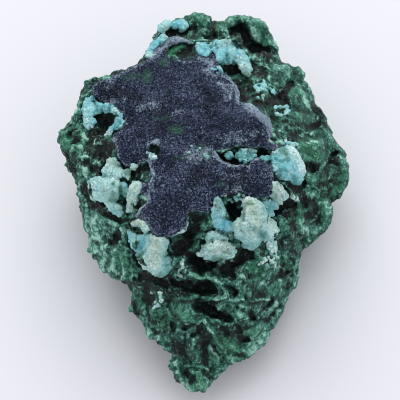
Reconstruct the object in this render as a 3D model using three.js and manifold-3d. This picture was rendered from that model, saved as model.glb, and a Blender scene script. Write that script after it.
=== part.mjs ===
// Azurite and malachite hand specimen, millimetres, +Z up, resting on a broken flat underside.
// One grown-together lump: a malachite body, a raised crust of azurite on its display face,
// rounded chrysocolla lumps round the crust, and small hollows between them.
// The display face leans towards -Y; places on it are given as [across, up, ...] from its middle.

import * as THREE from 'three';
import { mergeVertices } from 'three/addons/utils/BufferGeometryUtils.js';
import { ImprovedNoise } from 'three/addons/math/ImprovedNoise.js';
import Module from 'manifold-3d';

const wasm = await Module();
wasm.setup();

// ---------------------------------------------------------------- sizes (mm)
const FACE_ELEVATION = 60;       // degrees the display face looks above the horizontal
const FACE_LIFT = 14;            // height of the middle of the face plane above the rest
const BODY_DETAIL = 11;          // how finely the body's skin is divided
const SKIN_CROWDING = 0.72;      // below 1 gives the display face more of the skin's facets
const RIM_FULLNESS = 14;         // higher keeps the display face full up to its rim
const BACK_FULLNESS = 5;         // higher squares off the broken back where it meets the rim
const SPOT_BLEND = 3;            // softens the slopes between the height spots (square mm)
const ROUGH_BROAD = { height: 0.9, length: 5 };     // broad unevenness of the display face
const ROUGH_FINE = { height: 0.5, length: 2.3 };    // finer unevenness of the display face
const ROUGH_BACK = { height: 1.6, length: 8 };      // unevenness of the broken back
const CRUST_RISE = 1.2;          // thickness of the azurite crust above the body
const CRUST_CALM = 0.45;         // share of the body's unevenness that the crust still shows
const CRUST_CUT = { from: -20, depth: 60 };         // reach of the cutter that edges the crust
const LUMP_SINK = 0.5;           // share of a lump's radius that lies below the skin
const LUMP_UNEVENNESS = 0.25;    // how far a lump is from a true ball
const LARGE_LUMP = 1.9;          // radius from which a lump gets finer facets
const KNOB_SINK = 0.45;          // share of a malachite knob's depth that lies below the skin
const KNOB_UNEVENNESS = 0.3;     // how far a knob is from a true ball
const PIT_DEPTH = 1.1;           // depth of a hollow against its narrower half width
const PIT_RISE = 0.15;           // how far a hollow's middle stands above the skin
const PIT_UNEVENNESS = 0.35;     // how far a hollow is from a true bowl
const UNDERSIDE_SLACK = 1.5;     // stock below the rest plane, cut off flat at the end
const FLOOR_STOCK = 200;         // side of the block that cuts the underside flat

// Outline of the lump seen square on to its display face.
const OUTLINE = [
  [-7.6, 30.1], [-7.2, 31.7], [-5.8, 32.6], [-4, 32.8], [-2.2, 32.8], [-0.9, 33.5], [0.5, 33.7], [1.6, 32.9],
  [2.3, 32], [4.3, 32.4], [6.5, 33.3], [8.3, 33.1], [10.1, 32.4], [12.2, 31.5], [13, 29.9], [13.9, 28.1],
  [14.2, 25.9], [15.7, 24.7], [17.6, 24.3], [18.5, 22.7], [19.6, 20.2], [20.5, 18], [22.1, 15.8], [23.6, 13],
  [25.2, 10.4], [25.9, 7.6], [26.8, 5.2], [26.5, 2.9], [25.4, 0.9], [23.8, 0.2], [23.6, -2.5], [22.9, -5.2],
  [21.8, -7.2], [19.4, -8.3], [17.6, -9], [18.2, -12.1], [17.6, -14.6], [16.7, -16.6], [15.1, -18.9],
  [14.6, -21.2], [13, -23.8], [11.2, -24.8], [10.1, -27], [7.9, -28.3], [4.3, -29.2], [3.6, -31],
  [1.8, -33.8], [0.2, -34.7], [-1.6, -34], [-3.2, -31.7], [-4.7, -29.9], [-4.9, -27.5], [-7.2, -25.9],
  [-9, -23.6], [-10.4, -21.2], [-11.5, -20.2], [-11.9, -18], [-11.5, -15.7], [-13.7, -14.8], [-15.8, -13.5],
  [-18.2, -12.2], [-19.6, -9.9], [-19.6, -7.9], [-20.9, -4], [-21.6, 0], [-22.3, 4], [-23.4, 5.4],
  [-24.1, 7.6], [-25.2, 9.7], [-25.2, 11.9], [-23.9, 13.3], [-22, 16.2], [-21.6, 18.4], [-20.9, 21.1],
  [-19.4, 22.3], [-16.2, 22.5], [-13.3, 23.4], [-10, 25.2], [-9, 27.7],
];
const OUTLINE_MIDDLE = [0.9, 1.8];

// Height of the rim above the rest, going round: [across, up, height].
const RIM = [
  [-5.4, 32.8, 22], [0, 33.8, 21], [2.3, 32, 20], [7.2, 33.3, 18.5], [12.6, 31, 17], [14, 27, 16.5],
  [17.5, 24.5, 17], [19.8, 20.2, 16], [22.5, 15.1, 14], [25.6, 9.4, 12.5], [27, 5, 11], [25.2, 0.7, 10],
  [23.4, -4, 8.5], [19.4, -8.5, 8.5], [18, -9.4, 9], [18.2, -12.2, 8.5], [16.6, -16.9, 7.5], [14.4, -21.6, 7],
  [10.1, -27, 6], [4, -29.3, 5.5], [2.7, -32.4, 4.5], [0, -34.7, 3.5], [-3.1, -32, 5], [-4.9, -27.5, 7.5],
  [-9.4, -23, 9], [-11.5, -18, 11], [-13.7, -14.8, 11.5], [-18.5, -11.5, 10], [-20.5, -5.4, 11.5],
  [-22, 1.8, 13.5], [-24.1, 7.2, 16], [-25.4, 10.8, 17.5], [-23, 14.8, 20.5], [-21.6, 18.4, 23],
  [-20.5, 21.4, 24.5], [-15.3, 23, 26.5], [-10.3, 25.7, 26], [-7.6, 30.1, 23.5],
];

// Heights over the display face above the rest: [across, up, height].
const FACE_SPOTS = [
  [-18, 20.2, 27], [-13.5, 20.7, 29.5], [-9, 21.6, 31], [-3.6, 23.4, 30.5], [0.9, 22.5, 30.5], [-14.4, 16.2, 30.5],
  [-9, 16.2, 33], [-3.6, 18, 33], [2.7, 18.9, 32], [-9, 11.7, 34], [-2.7, 12.6, 34.5], [3.6, 14.4, 33.5],
  [9.9, 14.4, 31], [-13.5, 9, 31.5], [-7.2, 8.1, 33], [0, 8.1, 33], [7.2, 9, 31.5], [11.7, 9, 29.5],
  [-9, 1.8, 32], [-3.6, 2.7, 34], [2.7, 3.6, 34], [9, 3.6, 32.5], [11.7, 2.7, 31], [-7.2, -2.7, 31.5],
  [-4.5, -4.5, 31], [0, -0.9, 32.5], [5.8, 0, 31], [9.4, -3.6, 28.5], [9, -7.2, 25.5], [2.7, -8.1, 26],
  [0, -11.2, 23], [-9, -9, 26.5], [-9, -13.5, 21.5], [-3.6, -8.1, 27], [-4.5, -11.7, 23], [4.5, -11.7, 22],
  [-5, 27, 29], [-7.2, 27.9, 27], [0, 27, 29], [5.4, 27, 27.5], [0, 31.5, 23], [-5.4, 31.1, 24],
  [7.2, 32, 20], [11.2, 30.6, 19], [9.9, 27.9, 18.5], [13, 26.6, 18], [6.3, 23.4, 25.5], [9.9, 21.6, 24],
  [13.5, 22.5, 20], [16.2, 22.5, 18], [11.2, 18.4, 27], [15.3, 18, 22.5], [18, 18.9, 19], [15.3, 13.5, 24],
  [18.9, 14.4, 18.5], [21.6, 13.5, 15.5], [15.8, 9.9, 25], [19.8, 9, 19.5], [23.4, 9, 14.5], [25.2, 5.4, 12.5],
  [22.5, 3.6, 16], [19.8, 2.7, 18.5], [16.2, 6.3, 25], [15.3, 0.9, 24], [24.3, 1.8, 12], [20.7, -2.7, 14.5],
  [18, -2.7, 18], [22.5, -5.4, 10], [19.8, -7.2, 10.5], [15.3, -4.5, 20], [14, -8.6, 18.5], [16.7, -8.1, 14.5],
  [11.7, -11.2, 19], [16.2, -13.5, 12], [12.6, -16.2, 14.5], [15.3, -18, 10], [7.2, -14.4, 19.5],
  [2.7, -14.4, 20.5], [-2.7, -15.3, 20], [-7.2, -16.2, 19], [8.1, -19.8, 15.5], [3.6, -18.9, 17.5],
  [-1.8, -19.8, 17.5], [-6.3, -19.8, 16], [-9, -19.8, 14.5], [11.7, -21.6, 10.5], [8.1, -24.3, 11],
  [2.7, -24.3, 13.5], [-0.9, -24.3, 14], [-5.4, -24.3, 12], [7.2, -27.4, 7.5], [2.7, -27.9, 10],
  [-0.9, -28.8, 10], [-3.6, -29.7, 8], [0, -32.4, 6.5], [-22.5, 13.5, 22], [-24.3, 10.8, 19],
  [-20.7, 16.2, 25.5], [-19.8, 13.5, 27], [-21.6, 9, 23], [-18.9, 8.1, 26], [-17.1, 5.4, 27], [-21.6, 4.5, 19],
  [-19.8, 1.8, 23], [-17.1, 1.8, 26], [-20.7, -1.8, 18.5], [-18, -2.7, 21], [-14.8, -0.9, 25], [-19.8, -6.3, 16],
  [-17.1, -7.2, 17.5], [-14.4, -4.5, 22], [-13.5, -7.2, 20.5], [-12.2, -11.2, 18.5], [-18.4, -10.4, 13.5],
  [-15.3, -11.7, 14.5], [-12.6, -13.5, 15.5], [-9.9, -15.3, 17.5],
];

// Broken faces that close the hidden side: outward direction and a point each passes through.
const BREAKS = [
  { out: [0, 0, -1], through: [0, 0, -UNDERSIDE_SLACK] },
  { out: [0.15, 0.97, -0.2], through: [0, 33.5, 14] },
  { out: [-0.75, 0.6, -0.25], through: [-19, 20, 12] },
  { out: [-0.9, -0.1, -0.42], through: [-22, 4, 9] },
  { out: [0.88, -0.12, -0.46], through: [22, -2, 6] },
  { out: [0.6, 0.75, -0.25], through: [15, 24, 10] },
  { out: [0.45, -0.6, -0.66], through: [8, -24, 3] },
  { out: [-0.5, -0.6, -0.63], through: [-9, -20, 4] },
];

// Edge of the azurite crust on the display face.
const CRUST_EDGE = [
  [-18.7, 20.2], [-17.5, 21.1], [-15.7, 21.8], [-13.5, 22.3], [-10.8, 23], [-9, 23.8], [-7.2, 24.1], [-5, 24.5],
  [-2.7, 25], [-4.3, 25.7], [-7.2, 25.9], [-8.3, 26.8], [-6.5, 28.3], [-4.5, 29.5], [-2.7, 28.8], [-1.3, 27.9],
  [0.2, 25.7], [2.9, 25.9], [3.1, 23.9], [3.8, 22.3], [5.2, 21.8], [6.3, 20.3], [6.7, 19.3], [7, 17.1],
  [9.5, 16.6], [11.2, 15.5], [12.2, 14], [12.6, 12.6], [11.9, 11], [13.9, 9.2], [11.2, 9.4], [9, 9.9],
  [7.2, 9.4], [4.7, 9], [2.7, 8.8], [2.9, 7.9], [4, 6.8], [5.6, 6.1], [8.3, 6.1], [9.5, 7.4], [11.2, 7],
  [12.8, 6.1], [13.3, 5], [13, 3.6], [12.6, 2.5], [11.7, 1.1], [10.3, 0.2], [8.8, 0.5], [7.7, 1.1], [6.1, 1.3],
  [3.4, 0.7], [2.3, -0.4], [1.6, -2], [0, -2.3], [-2.3, -2.2], [-2.3, -3.8], [-2.9, -5.4], [-4.1, -6.3],
  [-5.8, -6.7], [-8.3, -5.8], [-9.5, -4.7], [-10.8, -3.6], [-11.2, -2.5], [-10.3, -1.3], [-9.4, 0.2],
  [-11.5, 0.9], [-12.2, 2], [-11.5, 2.9], [-9, 3.1], [-8.6, 4.1], [-9.2, 5.4], [-8.8, 6.5], [-10.8, 6.3],
  [-12.4, 6.1], [-14.2, 7.2], [-14.6, 8.6], [-14.9, 10.4], [-15.5, 11.3], [-14.8, 12.4], [-13.7, 13],
  [-13.5, 14.2], [-14.2, 15.8], [-15.3, 16.9], [-16.9, 17.5], [-18.4, 18.4],
];

// Rounded chrysocolla lumps by group: [across, up, radius].
const LUMPS = [
  // left shoulder
  [-18, 2, 2.3], [-15.6, 2.2, 2], [-16.8, 0.1, 1.7], [-15.2, 6.3, 1.4],
  // lower left of the crust
  [-8.6, -9.4, 2.6], [-6.9, -11.3, 2.1], [-10.4, -8, 1.7],
  // middle, below the crust
  [9.7, -2.7, 2.4], [7, -4.8, 1.7], [9, -6.8, 2], [12.1, -5.3, 1.8], [3.2, -1.9, 1.7], [4.2, -4.5, 1.7],
  [3.2, -8.1, 2.2], [1.8, -6.6, 1.7],
  // right of the crust
  [14.3, 1.8, 1.5], [15.8, 7.7, 1.9], [17.3, 7.2, 1.7], [14.7, 5.8, 1.8], [16.8, 4.9, 1.8],
  // top edge
  [1.5, 27.4, 1.7], [4, 26.7, 1.8], [6.1, 28.1, 1.5], [7.4, 25.8, 1.9], [-3.6, 31.6, 1.5], [-6.7, 30.6, 1.4],
  // left edge of the crust
  [-19.8, 15.5, 1.7], [-19.2, 13.8, 1.3],
];

// Malachite knobs and lobes: [across, up, half width, half length, turn in degrees].
const KNOBS = [
  [0.2, 31.3, 2.3, 2.1, 0], [9.5, 31, 3, 2, -30],
  [24.8, 5, 1.9, 2.4, 0], [22.5, -2.7, 1.6, 2.3, 0], [-0.5, -31.7, 2.7, 2.9, 0], [-11.5, -19.3, 1, 2.2, 8],
];

// Hollows: [across, up, half width, half height, turn in degrees].
const PITS = [
  // front, below the crust
  [2.3, -20, 3.2, 1.3, -18], [0.5, -15.5, 2.2, 1.1, -5], [0, -11.3, 2, 1.3, -8], [0.9, -26.8, 1.1, 2.2, -15],
  [9, -9.4, 2.7, 1.3, 0], [5.8, -2, 1.4, 1.4, 0],
  // right
  [20.2, 5.9, 1.3, 1, 0], [14.8, 19.3, 1.3, 1.6, 0], [18.9, -0.9, 1.4, 1.4, 0],
  // left
  [-16.7, 14.2, 1.4, 1.4, 0], [-17.3, 7.6, 1.9, 1.9, 0], [-14.9, -6.8, 0.9, 1.6, 20], [-11, -0.5, 1, 1.3, 20],
  // middle and top
  [-2.3, -7.2, 2.4, 2.8, 0], [7.2, 7.8, 3, 1, 0], [10.1, 27.4, 2.4, 1.3, -20], [5.6, 23.4, 1.3, 1.2, 0],
];

// ---------------------------------------------------------------- face plane
const elevation = THREE.MathUtils.degToRad(FACE_ELEVATION);
const ACROSS = new THREE.Vector3(1, 0, 0);
const UP = new THREE.Vector3(0, Math.sin(elevation), Math.cos(elevation));
const OUT = new THREE.Vector3(0, -Math.cos(elevation), Math.sin(elevation));
const faceToWorld = new THREE.Matrix4().makeBasis(ACROSS, UP, OUT).setPosition(0, 0, FACE_LIFT);
const noise = new ImprovedNoise();

// How far out of the face plane a point of known height lies.
function outAtHeight(up, height) {
  return (height - FACE_LIFT - up * UP.z) / OUT.z;
}

// Distance from the middle of the outline to its edge in a direction.
function outlineReach(dx, dy) {
  let reach = 0;
  for (let i = 0; i < OUTLINE.length; i++) {
    const [ax, ay] = OUTLINE[i];
    const [bx, by] = OUTLINE[(i + 1) % OUTLINE.length];
    const ex = bx - ax;
    const ey = by - ay;
    const px = ax - OUTLINE_MIDDLE[0];
    const py = ay - OUTLINE_MIDDLE[1];
    const cross = dx * ey - dy * ex;
    if (Math.abs(cross) < 1e-9) continue;
    const along = (px * ey - py * ex) / cross;
    const share = (px * dy - py * dx) / cross;
    if (share >= 0 && share <= 1 && along > reach) reach = along;
  }
  return reach;
}

// How far out the skin lies, from scattered [across, up, height] spots, the nearest counting most.
function outFromSpots(spots, a, b) {
  let total = 0;
  let weights = 0;
  for (const [sa, sb, height] of spots) {
    const weight = 1 / (((a - sa) ** 2 + (b - sb) ** 2 + SPOT_BLEND) ** 2);
    total += weight * outAtHeight(sb, height);
    weights += weight;
  }
  return total / weights;
}

const ALL_SPOTS = FACE_SPOTS.concat(RIM);
const skinOut = (a, b) => outFromSpots(ALL_SPOTS, a, b);
const breaks = BREAKS.map(({ out, through }) => {
  const n = new THREE.Vector3(...out).normalize();
  const p = new THREE.Vector3(...through).sub(new THREE.Vector3(0, 0, FACE_LIFT));
  return { a: n.dot(ACROSS), b: n.dot(UP), c: n.dot(OUT), reach: n.dot(p) };
});

// The nearest broken face behind a place on the face plane.
function breakBehind(a, b) {
  return Math.max(...breaks.map((face) => (face.reach - a * face.a - b * face.b) / face.c));
}

// Smooth random bumps of a given height and length.
function bumps({ height, length }, a, b, c) {
  return height * noise.noise(a / length, b / length, c / length + length);
}

// ---------------------------------------------------------------- shaping
function plain(geometry) {
  const bare = geometry.clone();
  bare.deleteAttribute('normal');
  bare.deleteAttribute('uv');
  return mergeVertices(bare, 1e-5);
}

function toSolid(geometry) {
  const merged = plain(geometry);
  return new wasm.Manifold(new wasm.Mesh({
    numProp: 3,
    vertProperties: new Float32Array(merged.attributes.position.array),
    triVerts: new Uint32Array(merged.index.array),
  }));
}

// A direction moved towards the display face, so that more facets fall there.
function crowded(dx, dy, dz) {
  const across = Math.hypot(dx, dy);
  if (across < 1e-9) return [0, 0, Math.sign(dz)];
  const angle = 2 * Math.atan(SKIN_CROWDING * Math.tan(Math.atan2(across, dz) / 2));
  return [dx / across * Math.sin(angle), dy / across * Math.sin(angle), Math.cos(angle)];
}

// Skin of the lump in face coordinates; the display face can be raised and calmed.
function bodySkin(raise, roughShare) {
  const skin = plain(new THREE.IcosahedronGeometry(1, BODY_DETAIL));
  const position = skin.attributes.position;
  for (let i = 0; i < position.count; i++) {
    const [dx, dy, dz] = crowded(position.getX(i), position.getY(i), position.getZ(i));
    const spread = Math.min(1, Math.hypot(dx, dy));
    const reach = spread > 1e-6 ? outlineReach(dx / spread, dy / spread) : 0;
    const a = OUTLINE_MIDDLE[0] + dx * reach;
    const b = OUTLINE_MIDDLE[1] + dy * reach;
    const edgeA = OUTLINE_MIDDLE[0] + (spread > 1e-6 ? dx / spread : 1) * reach;
    const edgeB = OUTLINE_MIDDLE[1] + (spread > 1e-6 ? dy / spread : 0) * reach;
    const rim = outFromSpots(RIM, edgeA, edgeB);
      let c;
    if (dz >= 0) {
      const full = Math.sqrt(Math.max(0, 1 - spread ** RIM_FULLNESS));
      c = rim + (skinOut(a, b) + raise - rim) * full;
      c += (bumps(ROUGH_BROAD, a, b, c) + bumps(ROUGH_FINE, a, b, c)) * full * roughShare;
    } else {
      const full = (1 - spread ** BACK_FULLNESS) ** (1 / BACK_FULLNESS);
      const behind = Math.min(breakBehind(a, b), rim - 0.5);
      c = rim + (behind - rim) * full;
      c += bumps(ROUGH_BACK, a, b, c) * full;
    }
    position.setXYZ(i, a, b, c);
  }
  return skin;
}

// Uneven ball with its own half sizes, turned in the face plane.
function unevenBall(radii, detail, turn, roughness) {
  const ball = plain(new THREE.IcosahedronGeometry(1, detail));
  const position = ball.attributes.position;
  for (let i = 0; i < position.count; i++) {
    const v = new THREE.Vector3().fromBufferAttribute(position, i);
    const swell = 1 + roughness * noise.noise(v.x * 1.7 + radii[0] * 9, v.y * 1.7 + radii[1] * 5, v.z * 1.7);
    position.setXYZ(i, v.x * radii[0] * swell, v.y * radii[1] * swell, v.z * radii[2] * swell);
  }
  ball.rotateZ(THREE.MathUtils.degToRad(turn));
  return ball;
}

function lump([a, b, radius]) {
  const ball = unevenBall([radius, radius, radius], radius > LARGE_LUMP ? 2 : 1, 0, LUMP_UNEVENNESS);
  return toSolid(ball.translate(a, b, skinOut(a, b) - radius * LUMP_SINK));
}

function knob([a, b, halfWidth, halfLength, turn]) {
  const depth = Math.max(halfWidth, halfLength);
  const ball = unevenBall([halfWidth, halfLength, depth], 1, turn, KNOB_UNEVENNESS);
  return toSolid(ball.translate(a, b, skinOut(a, b) - depth * KNOB_SINK));
}

function pit([a, b, halfWidth, halfHeight, turn]) {
  const depth = PIT_DEPTH * Math.min(halfWidth, halfHeight);
  const ball = unevenBall([halfWidth, halfHeight, depth], 1, turn, PIT_UNEVENNESS);
  return toSolid(ball.translate(a, b, skinOut(a, b) + PIT_RISE));
}

function crust() {
  const edge = new THREE.Shape(CRUST_EDGE.map(([a, b]) => new THREE.Vector2(a, b)));
  const cutter = new THREE.ExtrudeGeometry(edge, { depth: CRUST_CUT.depth, bevelEnabled: false });
  const raised = toSolid(bodySkin(CRUST_RISE, CRUST_CALM));
  return raised.intersect(toSolid(cutter.translate(0, 0, CRUST_CUT.from)));
}

function toGeometry(solid) {
  const mesh = solid.getMesh();
  const geometry = new THREE.BufferGeometry();
  geometry.setAttribute('position', new THREE.BufferAttribute(new Float32Array(mesh.vertProperties), 3));
  geometry.setIndex(new THREE.BufferAttribute(new Uint32Array(mesh.triVerts), 1));
  return geometry;
}

// ---------------------------------------------------------------- assembly
let stone = toSolid(bodySkin(0, 1));
for (const each of KNOBS) stone = stone.add(knob(each));
stone = stone.add(crust());
for (const each of PITS) stone = stone.subtract(pit(each));
for (const each of LUMPS) stone = stone.add(lump(each));

const upright = toGeometry(stone).applyMatrix4(faceToWorld);
const floorStock = new THREE.BoxGeometry(FLOOR_STOCK, FLOOR_STOCK, FLOOR_STOCK);
floorStock.translate(0, 0, -FLOOR_STOCK / 2);
const specimenSolid = toSolid(upright).subtract(toSolid(floorStock));

const specimen = toGeometry(specimenSolid);
specimen.computeBoundingBox();
const middle = specimen.boundingBox.getCenter(new THREE.Vector3());
specimen.translate(-middle.x, -middle.y, -specimen.boundingBox.min.z);

const stoneMesh = new THREE.Mesh(
  specimen,
  new THREE.MeshStandardMaterial({ name: 'malachite', color: 0x2f6a58, roughness: 0.85, metalness: 0 }),
);
stoneMesh.name = 'specimen';

const group = new THREE.Group();
group.name = 'azurite_malachite_specimen';
group.add(stoneMesh);

export default group;
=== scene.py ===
"""Azurite and malachite hand specimen.

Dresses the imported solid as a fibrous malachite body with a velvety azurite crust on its
display face and rounded chrysocolla lumps round the crust. Places on the display face are
drawn on a grid of 0.18 mm steps whose middle is (200, 200), counted right and down, and are
carried onto the stone along the direction in which the face looks.
"""

import logging
import math
from dataclasses import dataclass, field, replace
from enum import Enum
from typing import ClassVar, Iterable, Sequence

import bpy
import numpy as np
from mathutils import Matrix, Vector
from mathutils.bvhtree import BVHTree
from mathutils.kdtree import KDTree

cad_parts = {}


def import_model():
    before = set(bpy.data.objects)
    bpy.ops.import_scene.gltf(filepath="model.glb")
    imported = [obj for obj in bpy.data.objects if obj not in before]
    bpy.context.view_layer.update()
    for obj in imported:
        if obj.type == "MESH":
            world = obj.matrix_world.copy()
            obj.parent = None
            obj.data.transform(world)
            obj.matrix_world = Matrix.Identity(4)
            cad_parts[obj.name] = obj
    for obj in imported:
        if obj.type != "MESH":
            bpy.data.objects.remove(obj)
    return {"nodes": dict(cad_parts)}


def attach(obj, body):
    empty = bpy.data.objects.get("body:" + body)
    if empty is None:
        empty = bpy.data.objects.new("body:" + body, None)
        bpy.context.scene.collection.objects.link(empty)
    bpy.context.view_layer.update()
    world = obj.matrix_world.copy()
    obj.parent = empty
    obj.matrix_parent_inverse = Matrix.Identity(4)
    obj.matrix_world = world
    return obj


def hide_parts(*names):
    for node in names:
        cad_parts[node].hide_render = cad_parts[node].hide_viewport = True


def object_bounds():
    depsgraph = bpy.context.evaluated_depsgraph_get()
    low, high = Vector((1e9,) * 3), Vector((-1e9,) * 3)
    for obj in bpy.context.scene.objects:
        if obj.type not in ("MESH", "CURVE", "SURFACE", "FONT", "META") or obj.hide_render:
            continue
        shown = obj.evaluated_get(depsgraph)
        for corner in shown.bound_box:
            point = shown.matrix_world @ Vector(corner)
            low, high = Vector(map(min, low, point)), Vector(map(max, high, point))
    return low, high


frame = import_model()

CAD_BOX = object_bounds()
LOG = logging.getLogger("specimen")

MM = 0.001
NODE = "specimen"

# The display face: how steeply it looks up, its middle in millimetres, and its own three axes.
FACE_ELEVATION = math.radians(60)
FACE_MIDDLE = np.array([-0.76, -0.51, 14.0])
ACROSS = np.array([1.0, 0.0, 0.0])
UP = np.array([0.0, math.sin(FACE_ELEVATION), math.cos(FACE_ELEVATION)])
OUT = np.array([0.0, -math.cos(FACE_ELEVATION), math.sin(FACE_ELEVATION)])
FACE_AXES = np.stack([ACROSS, UP, OUT])

# The grid that shapes on the face are drawn on.
GRID_STEP = 0.18
GRID_CENTRE = 200

# Small number that keeps a division from failing.
TINY = 1e-9

Layer = tuple[float, float, int]


def world(a: np.ndarray, b: np.ndarray, c: np.ndarray) -> np.ndarray:
    """Millimetres across, up and out of the face, as metres in the part's own frame."""
    points = np.stack(np.broadcast_arrays(a, b, c), axis=-1).astype(float)
    return (points @ FACE_AXES + FACE_MIDDLE) * MM


def on_face(points: np.ndarray) -> np.ndarray:
    """Points in metres as (across, up, out) in millimetres."""
    return (points / MM - FACE_MIDDLE) @ FACE_AXES.T


def flat(a: np.ndarray, b: np.ndarray) -> np.ndarray:
    """Places on the face plane as points, for noise that leaves out depth."""
    return np.column_stack([a, b, np.zeros(len(a))])


def from_grid(steps: Sequence[float]) -> np.ndarray:
    """Grid steps (right and down, one pair after another) as millimetre places on the face."""
    pairs = np.array(steps, float).reshape(-1, 2)
    return (pairs - GRID_CENTRE) * (GRID_STEP, -GRID_STEP)


# ---------------------------------------------------------------- noise

# Large odd numbers that mix a lattice cell's place into an even random number.
CELL_MIXERS = (73856093, 19349663, 83492791)
SEED_MIXER = 2654435761
SCRAMBLERS = (2246822519, 3266489917)
HASH_SPAN = 0x1000000

# Moves the lattice so that every place on the stone has positive cells.
LATTICE_SHIFT = 100.0

# Brings gradient noise to about -1 to 1.
NOISE_GAIN = 1.6


def _hashed(cells: np.ndarray, seed: int) -> np.ndarray:
    """Even random numbers from 0 to 1 for whole-number lattice cells.

    Args:
        cells: Whole numbers, one cell a row.
        seed: Sets apart one use from another.

    Returns:
        One number for each cell.
    """
    whole = cells.astype(np.int64).astype(np.uint64)
    mixed = np.uint64(seed * SEED_MIXER + 97)
    for axis, mixer in enumerate(CELL_MIXERS):
        mixed = mixed ^ (whole[..., axis] * np.uint64(mixer))
    mixed = (mixed ^ (mixed >> np.uint64(15))) * np.uint64(SCRAMBLERS[0])
    mixed = (mixed ^ (mixed >> np.uint64(13))) * np.uint64(SCRAMBLERS[1])
    mixed = mixed ^ (mixed >> np.uint64(16))
    return (mixed & np.uint64(HASH_SPAN - 1)).astype(float) / float(HASH_SPAN)


def soft_noise(points: np.ndarray, length: float, seed: int) -> np.ndarray:
    """Smooth gradient noise, about -1 to 1.

    Args:
        points: Places in millimetres.
        length: Size of one bump in millimetres.
        seed: Sets apart one use from another.

    Returns:
        One value for each point.
    """
    scaled = points / length + LATTICE_SHIFT
    base = np.floor(scaled)
    part = scaled - base
    blend = part * part * part * (part * (part * 6 - 15) + 10)
    total = np.zeros(len(scaled))
    for corner in range(8):
        step = np.array([corner & 1, corner >> 1 & 1, corner >> 2 & 1], float)
        cell = base + step
        turn = _hashed(cell, seed) * 2 * math.pi
        rise = _hashed(cell, seed + 31) * 2 - 1
        level = np.sqrt(1 - rise * rise)
        away = part - step
        dot = away[:, 0] * level * np.cos(turn) + away[:, 1] * level * np.sin(turn) + away[:, 2] * rise
        total += dot * np.prod(np.where(step > 0, blend, 1 - blend), axis=1)
    return total * NOISE_GAIN


def noise_sum(points: np.ndarray, *layers: Layer) -> np.ndarray:
    """Soft noise of several layers, each a (length, height, seed).

    Args:
        points: Places in millimetres.
        layers: Length, height and seed of each layer.

    Returns:
        One value for each place.
    """
    total = np.zeros(len(points))
    for length, height, seed in layers:
        total += height * soft_noise(points, length, seed)
    return total


def layered_noise(points: np.ndarray, length: float, layers: int, seed: int) -> np.ndarray:
    """Soft noise with finer layers added, each half as long and half as high."""
    return noise_sum(points, *[(length / 2**i, 1 / 2**i, seed + 7 * i) for i in range(layers)])


@dataclass
class Cells:
    """A rounded cell pattern, one value of each kind for each point."""

    near: np.ndarray
    gap: np.ndarray
    name: np.ndarray
    slope: np.ndarray

    def dome(self, width: float) -> np.ndarray:
        """A round knob in the middle of each cell, from -0.5 in the gaps to 1 on top."""
        return np.clip(1 - (self.near / width) ** 2, -0.5, 1)


def cells(points: np.ndarray, length: float, seed: int) -> Cells:
    """Rounded cell pattern.

    Args:
        points: Places in millimetres.
        length: Size of one cell in millimetres.
        seed: Sets apart one use from another.

    Returns:
        Distance to the nearest centre in cells, how much further the next one is, a random
        number of the nearest cell, and the height of a randomly tilted plane through its centre.
    """
    scaled = points / length + LATTICE_SHIFT
    base = np.floor(scaled)
    near = np.full(len(scaled), 9.0)
    second = np.full(len(scaled), 9.0)
    name = np.zeros(len(scaled))
    slope = np.zeros(len(scaled))
    for step in np.ndindex(3, 3, 3):
        cell = base + np.array(step, float) - 1
        centre = cell + np.stack([_hashed(cell, seed + s) for s in (1, 2, 3)], axis=1)
        away = scaled - centre
        distance = np.linalg.norm(away, axis=1)
        closer = distance < near
        second = np.where(closer, near, np.minimum(second, distance))
        tilt = np.stack([_hashed(cell, seed + s) for s in (5, 6, 7)], axis=1) - 0.5
        name = np.where(closer, _hashed(cell, seed + 4), name)
        slope = np.where(closer, (away * tilt).sum(1), slope)
        near = np.where(closer, distance, near)
    return Cells(near, second - near, name, slope)


def smooth_step(low: float, high: float, value: np.ndarray) -> np.ndarray:
    """0 below low, 1 above high and a smooth rise between."""
    t = np.clip((value - low) / (high - low), 0, 1)
    return t * t * (3 - 2 * t)


# ---------------------------------------------------------------- outlines


def segment_distance(a: np.ndarray, b: np.ndarray, start: np.ndarray, end: np.ndarray) -> np.ndarray:
    """Squared distance from places to one straight segment.

    Args:
        a: Places across.
        b: Places up.
        start: One end of the segment.
        end: Its other end.

    Returns:
        The squared distance of each place.
    """
    along = end - start
    length2 = max(float(along @ along), TINY)
    da, db = a - start[0], b - start[1]
    t = np.clip((da * along[0] + db * along[1]) / length2, 0, 1)
    return (da - t * along[0]) ** 2 + (db - t * along[1]) ** 2


def edge_distance(a: np.ndarray, b: np.ndarray, outline: Sequence[Sequence[float]]) -> np.ndarray:
    """Distance to a closed outline in millimetres, positive inside it.

    Args:
        a: Places across.
        b: Places up.
        outline: Corners of the outline.

    Returns:
        One signed distance for each place.
    """
    corners = np.asarray(outline, float)[:, :2]
    best = np.full(a.shape, np.inf)
    inside = np.zeros(a.shape, bool)
    for start, end in zip(corners, np.roll(corners, -1, axis=0)):
        best = np.minimum(best, segment_distance(a, b, start, end))
        if start[1] != end[1]:
            crosses = (start[1] > b) != (end[1] > b)
            at = (end[0] - start[0]) * (b - start[1]) / (end[1] - start[1]) + start[0]
            inside ^= crosses & (a < at)
    return np.sqrt(best) * np.where(inside, 1, -1)


def sideways(line: np.ndarray) -> np.ndarray:
    """The direction to one side of a closed line, at each of its places.

    Args:
        line: The places along a closed line.

    Returns:
        A direction of length 1 for each place.
    """
    along = np.roll(line, -1, axis=0) - np.roll(line, 1, axis=0)
    out = np.stack([-along[:, 1], along[:, 0]], axis=1)
    return out / (np.linalg.norm(out, axis=1, keepdims=True) + TINY)


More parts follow.
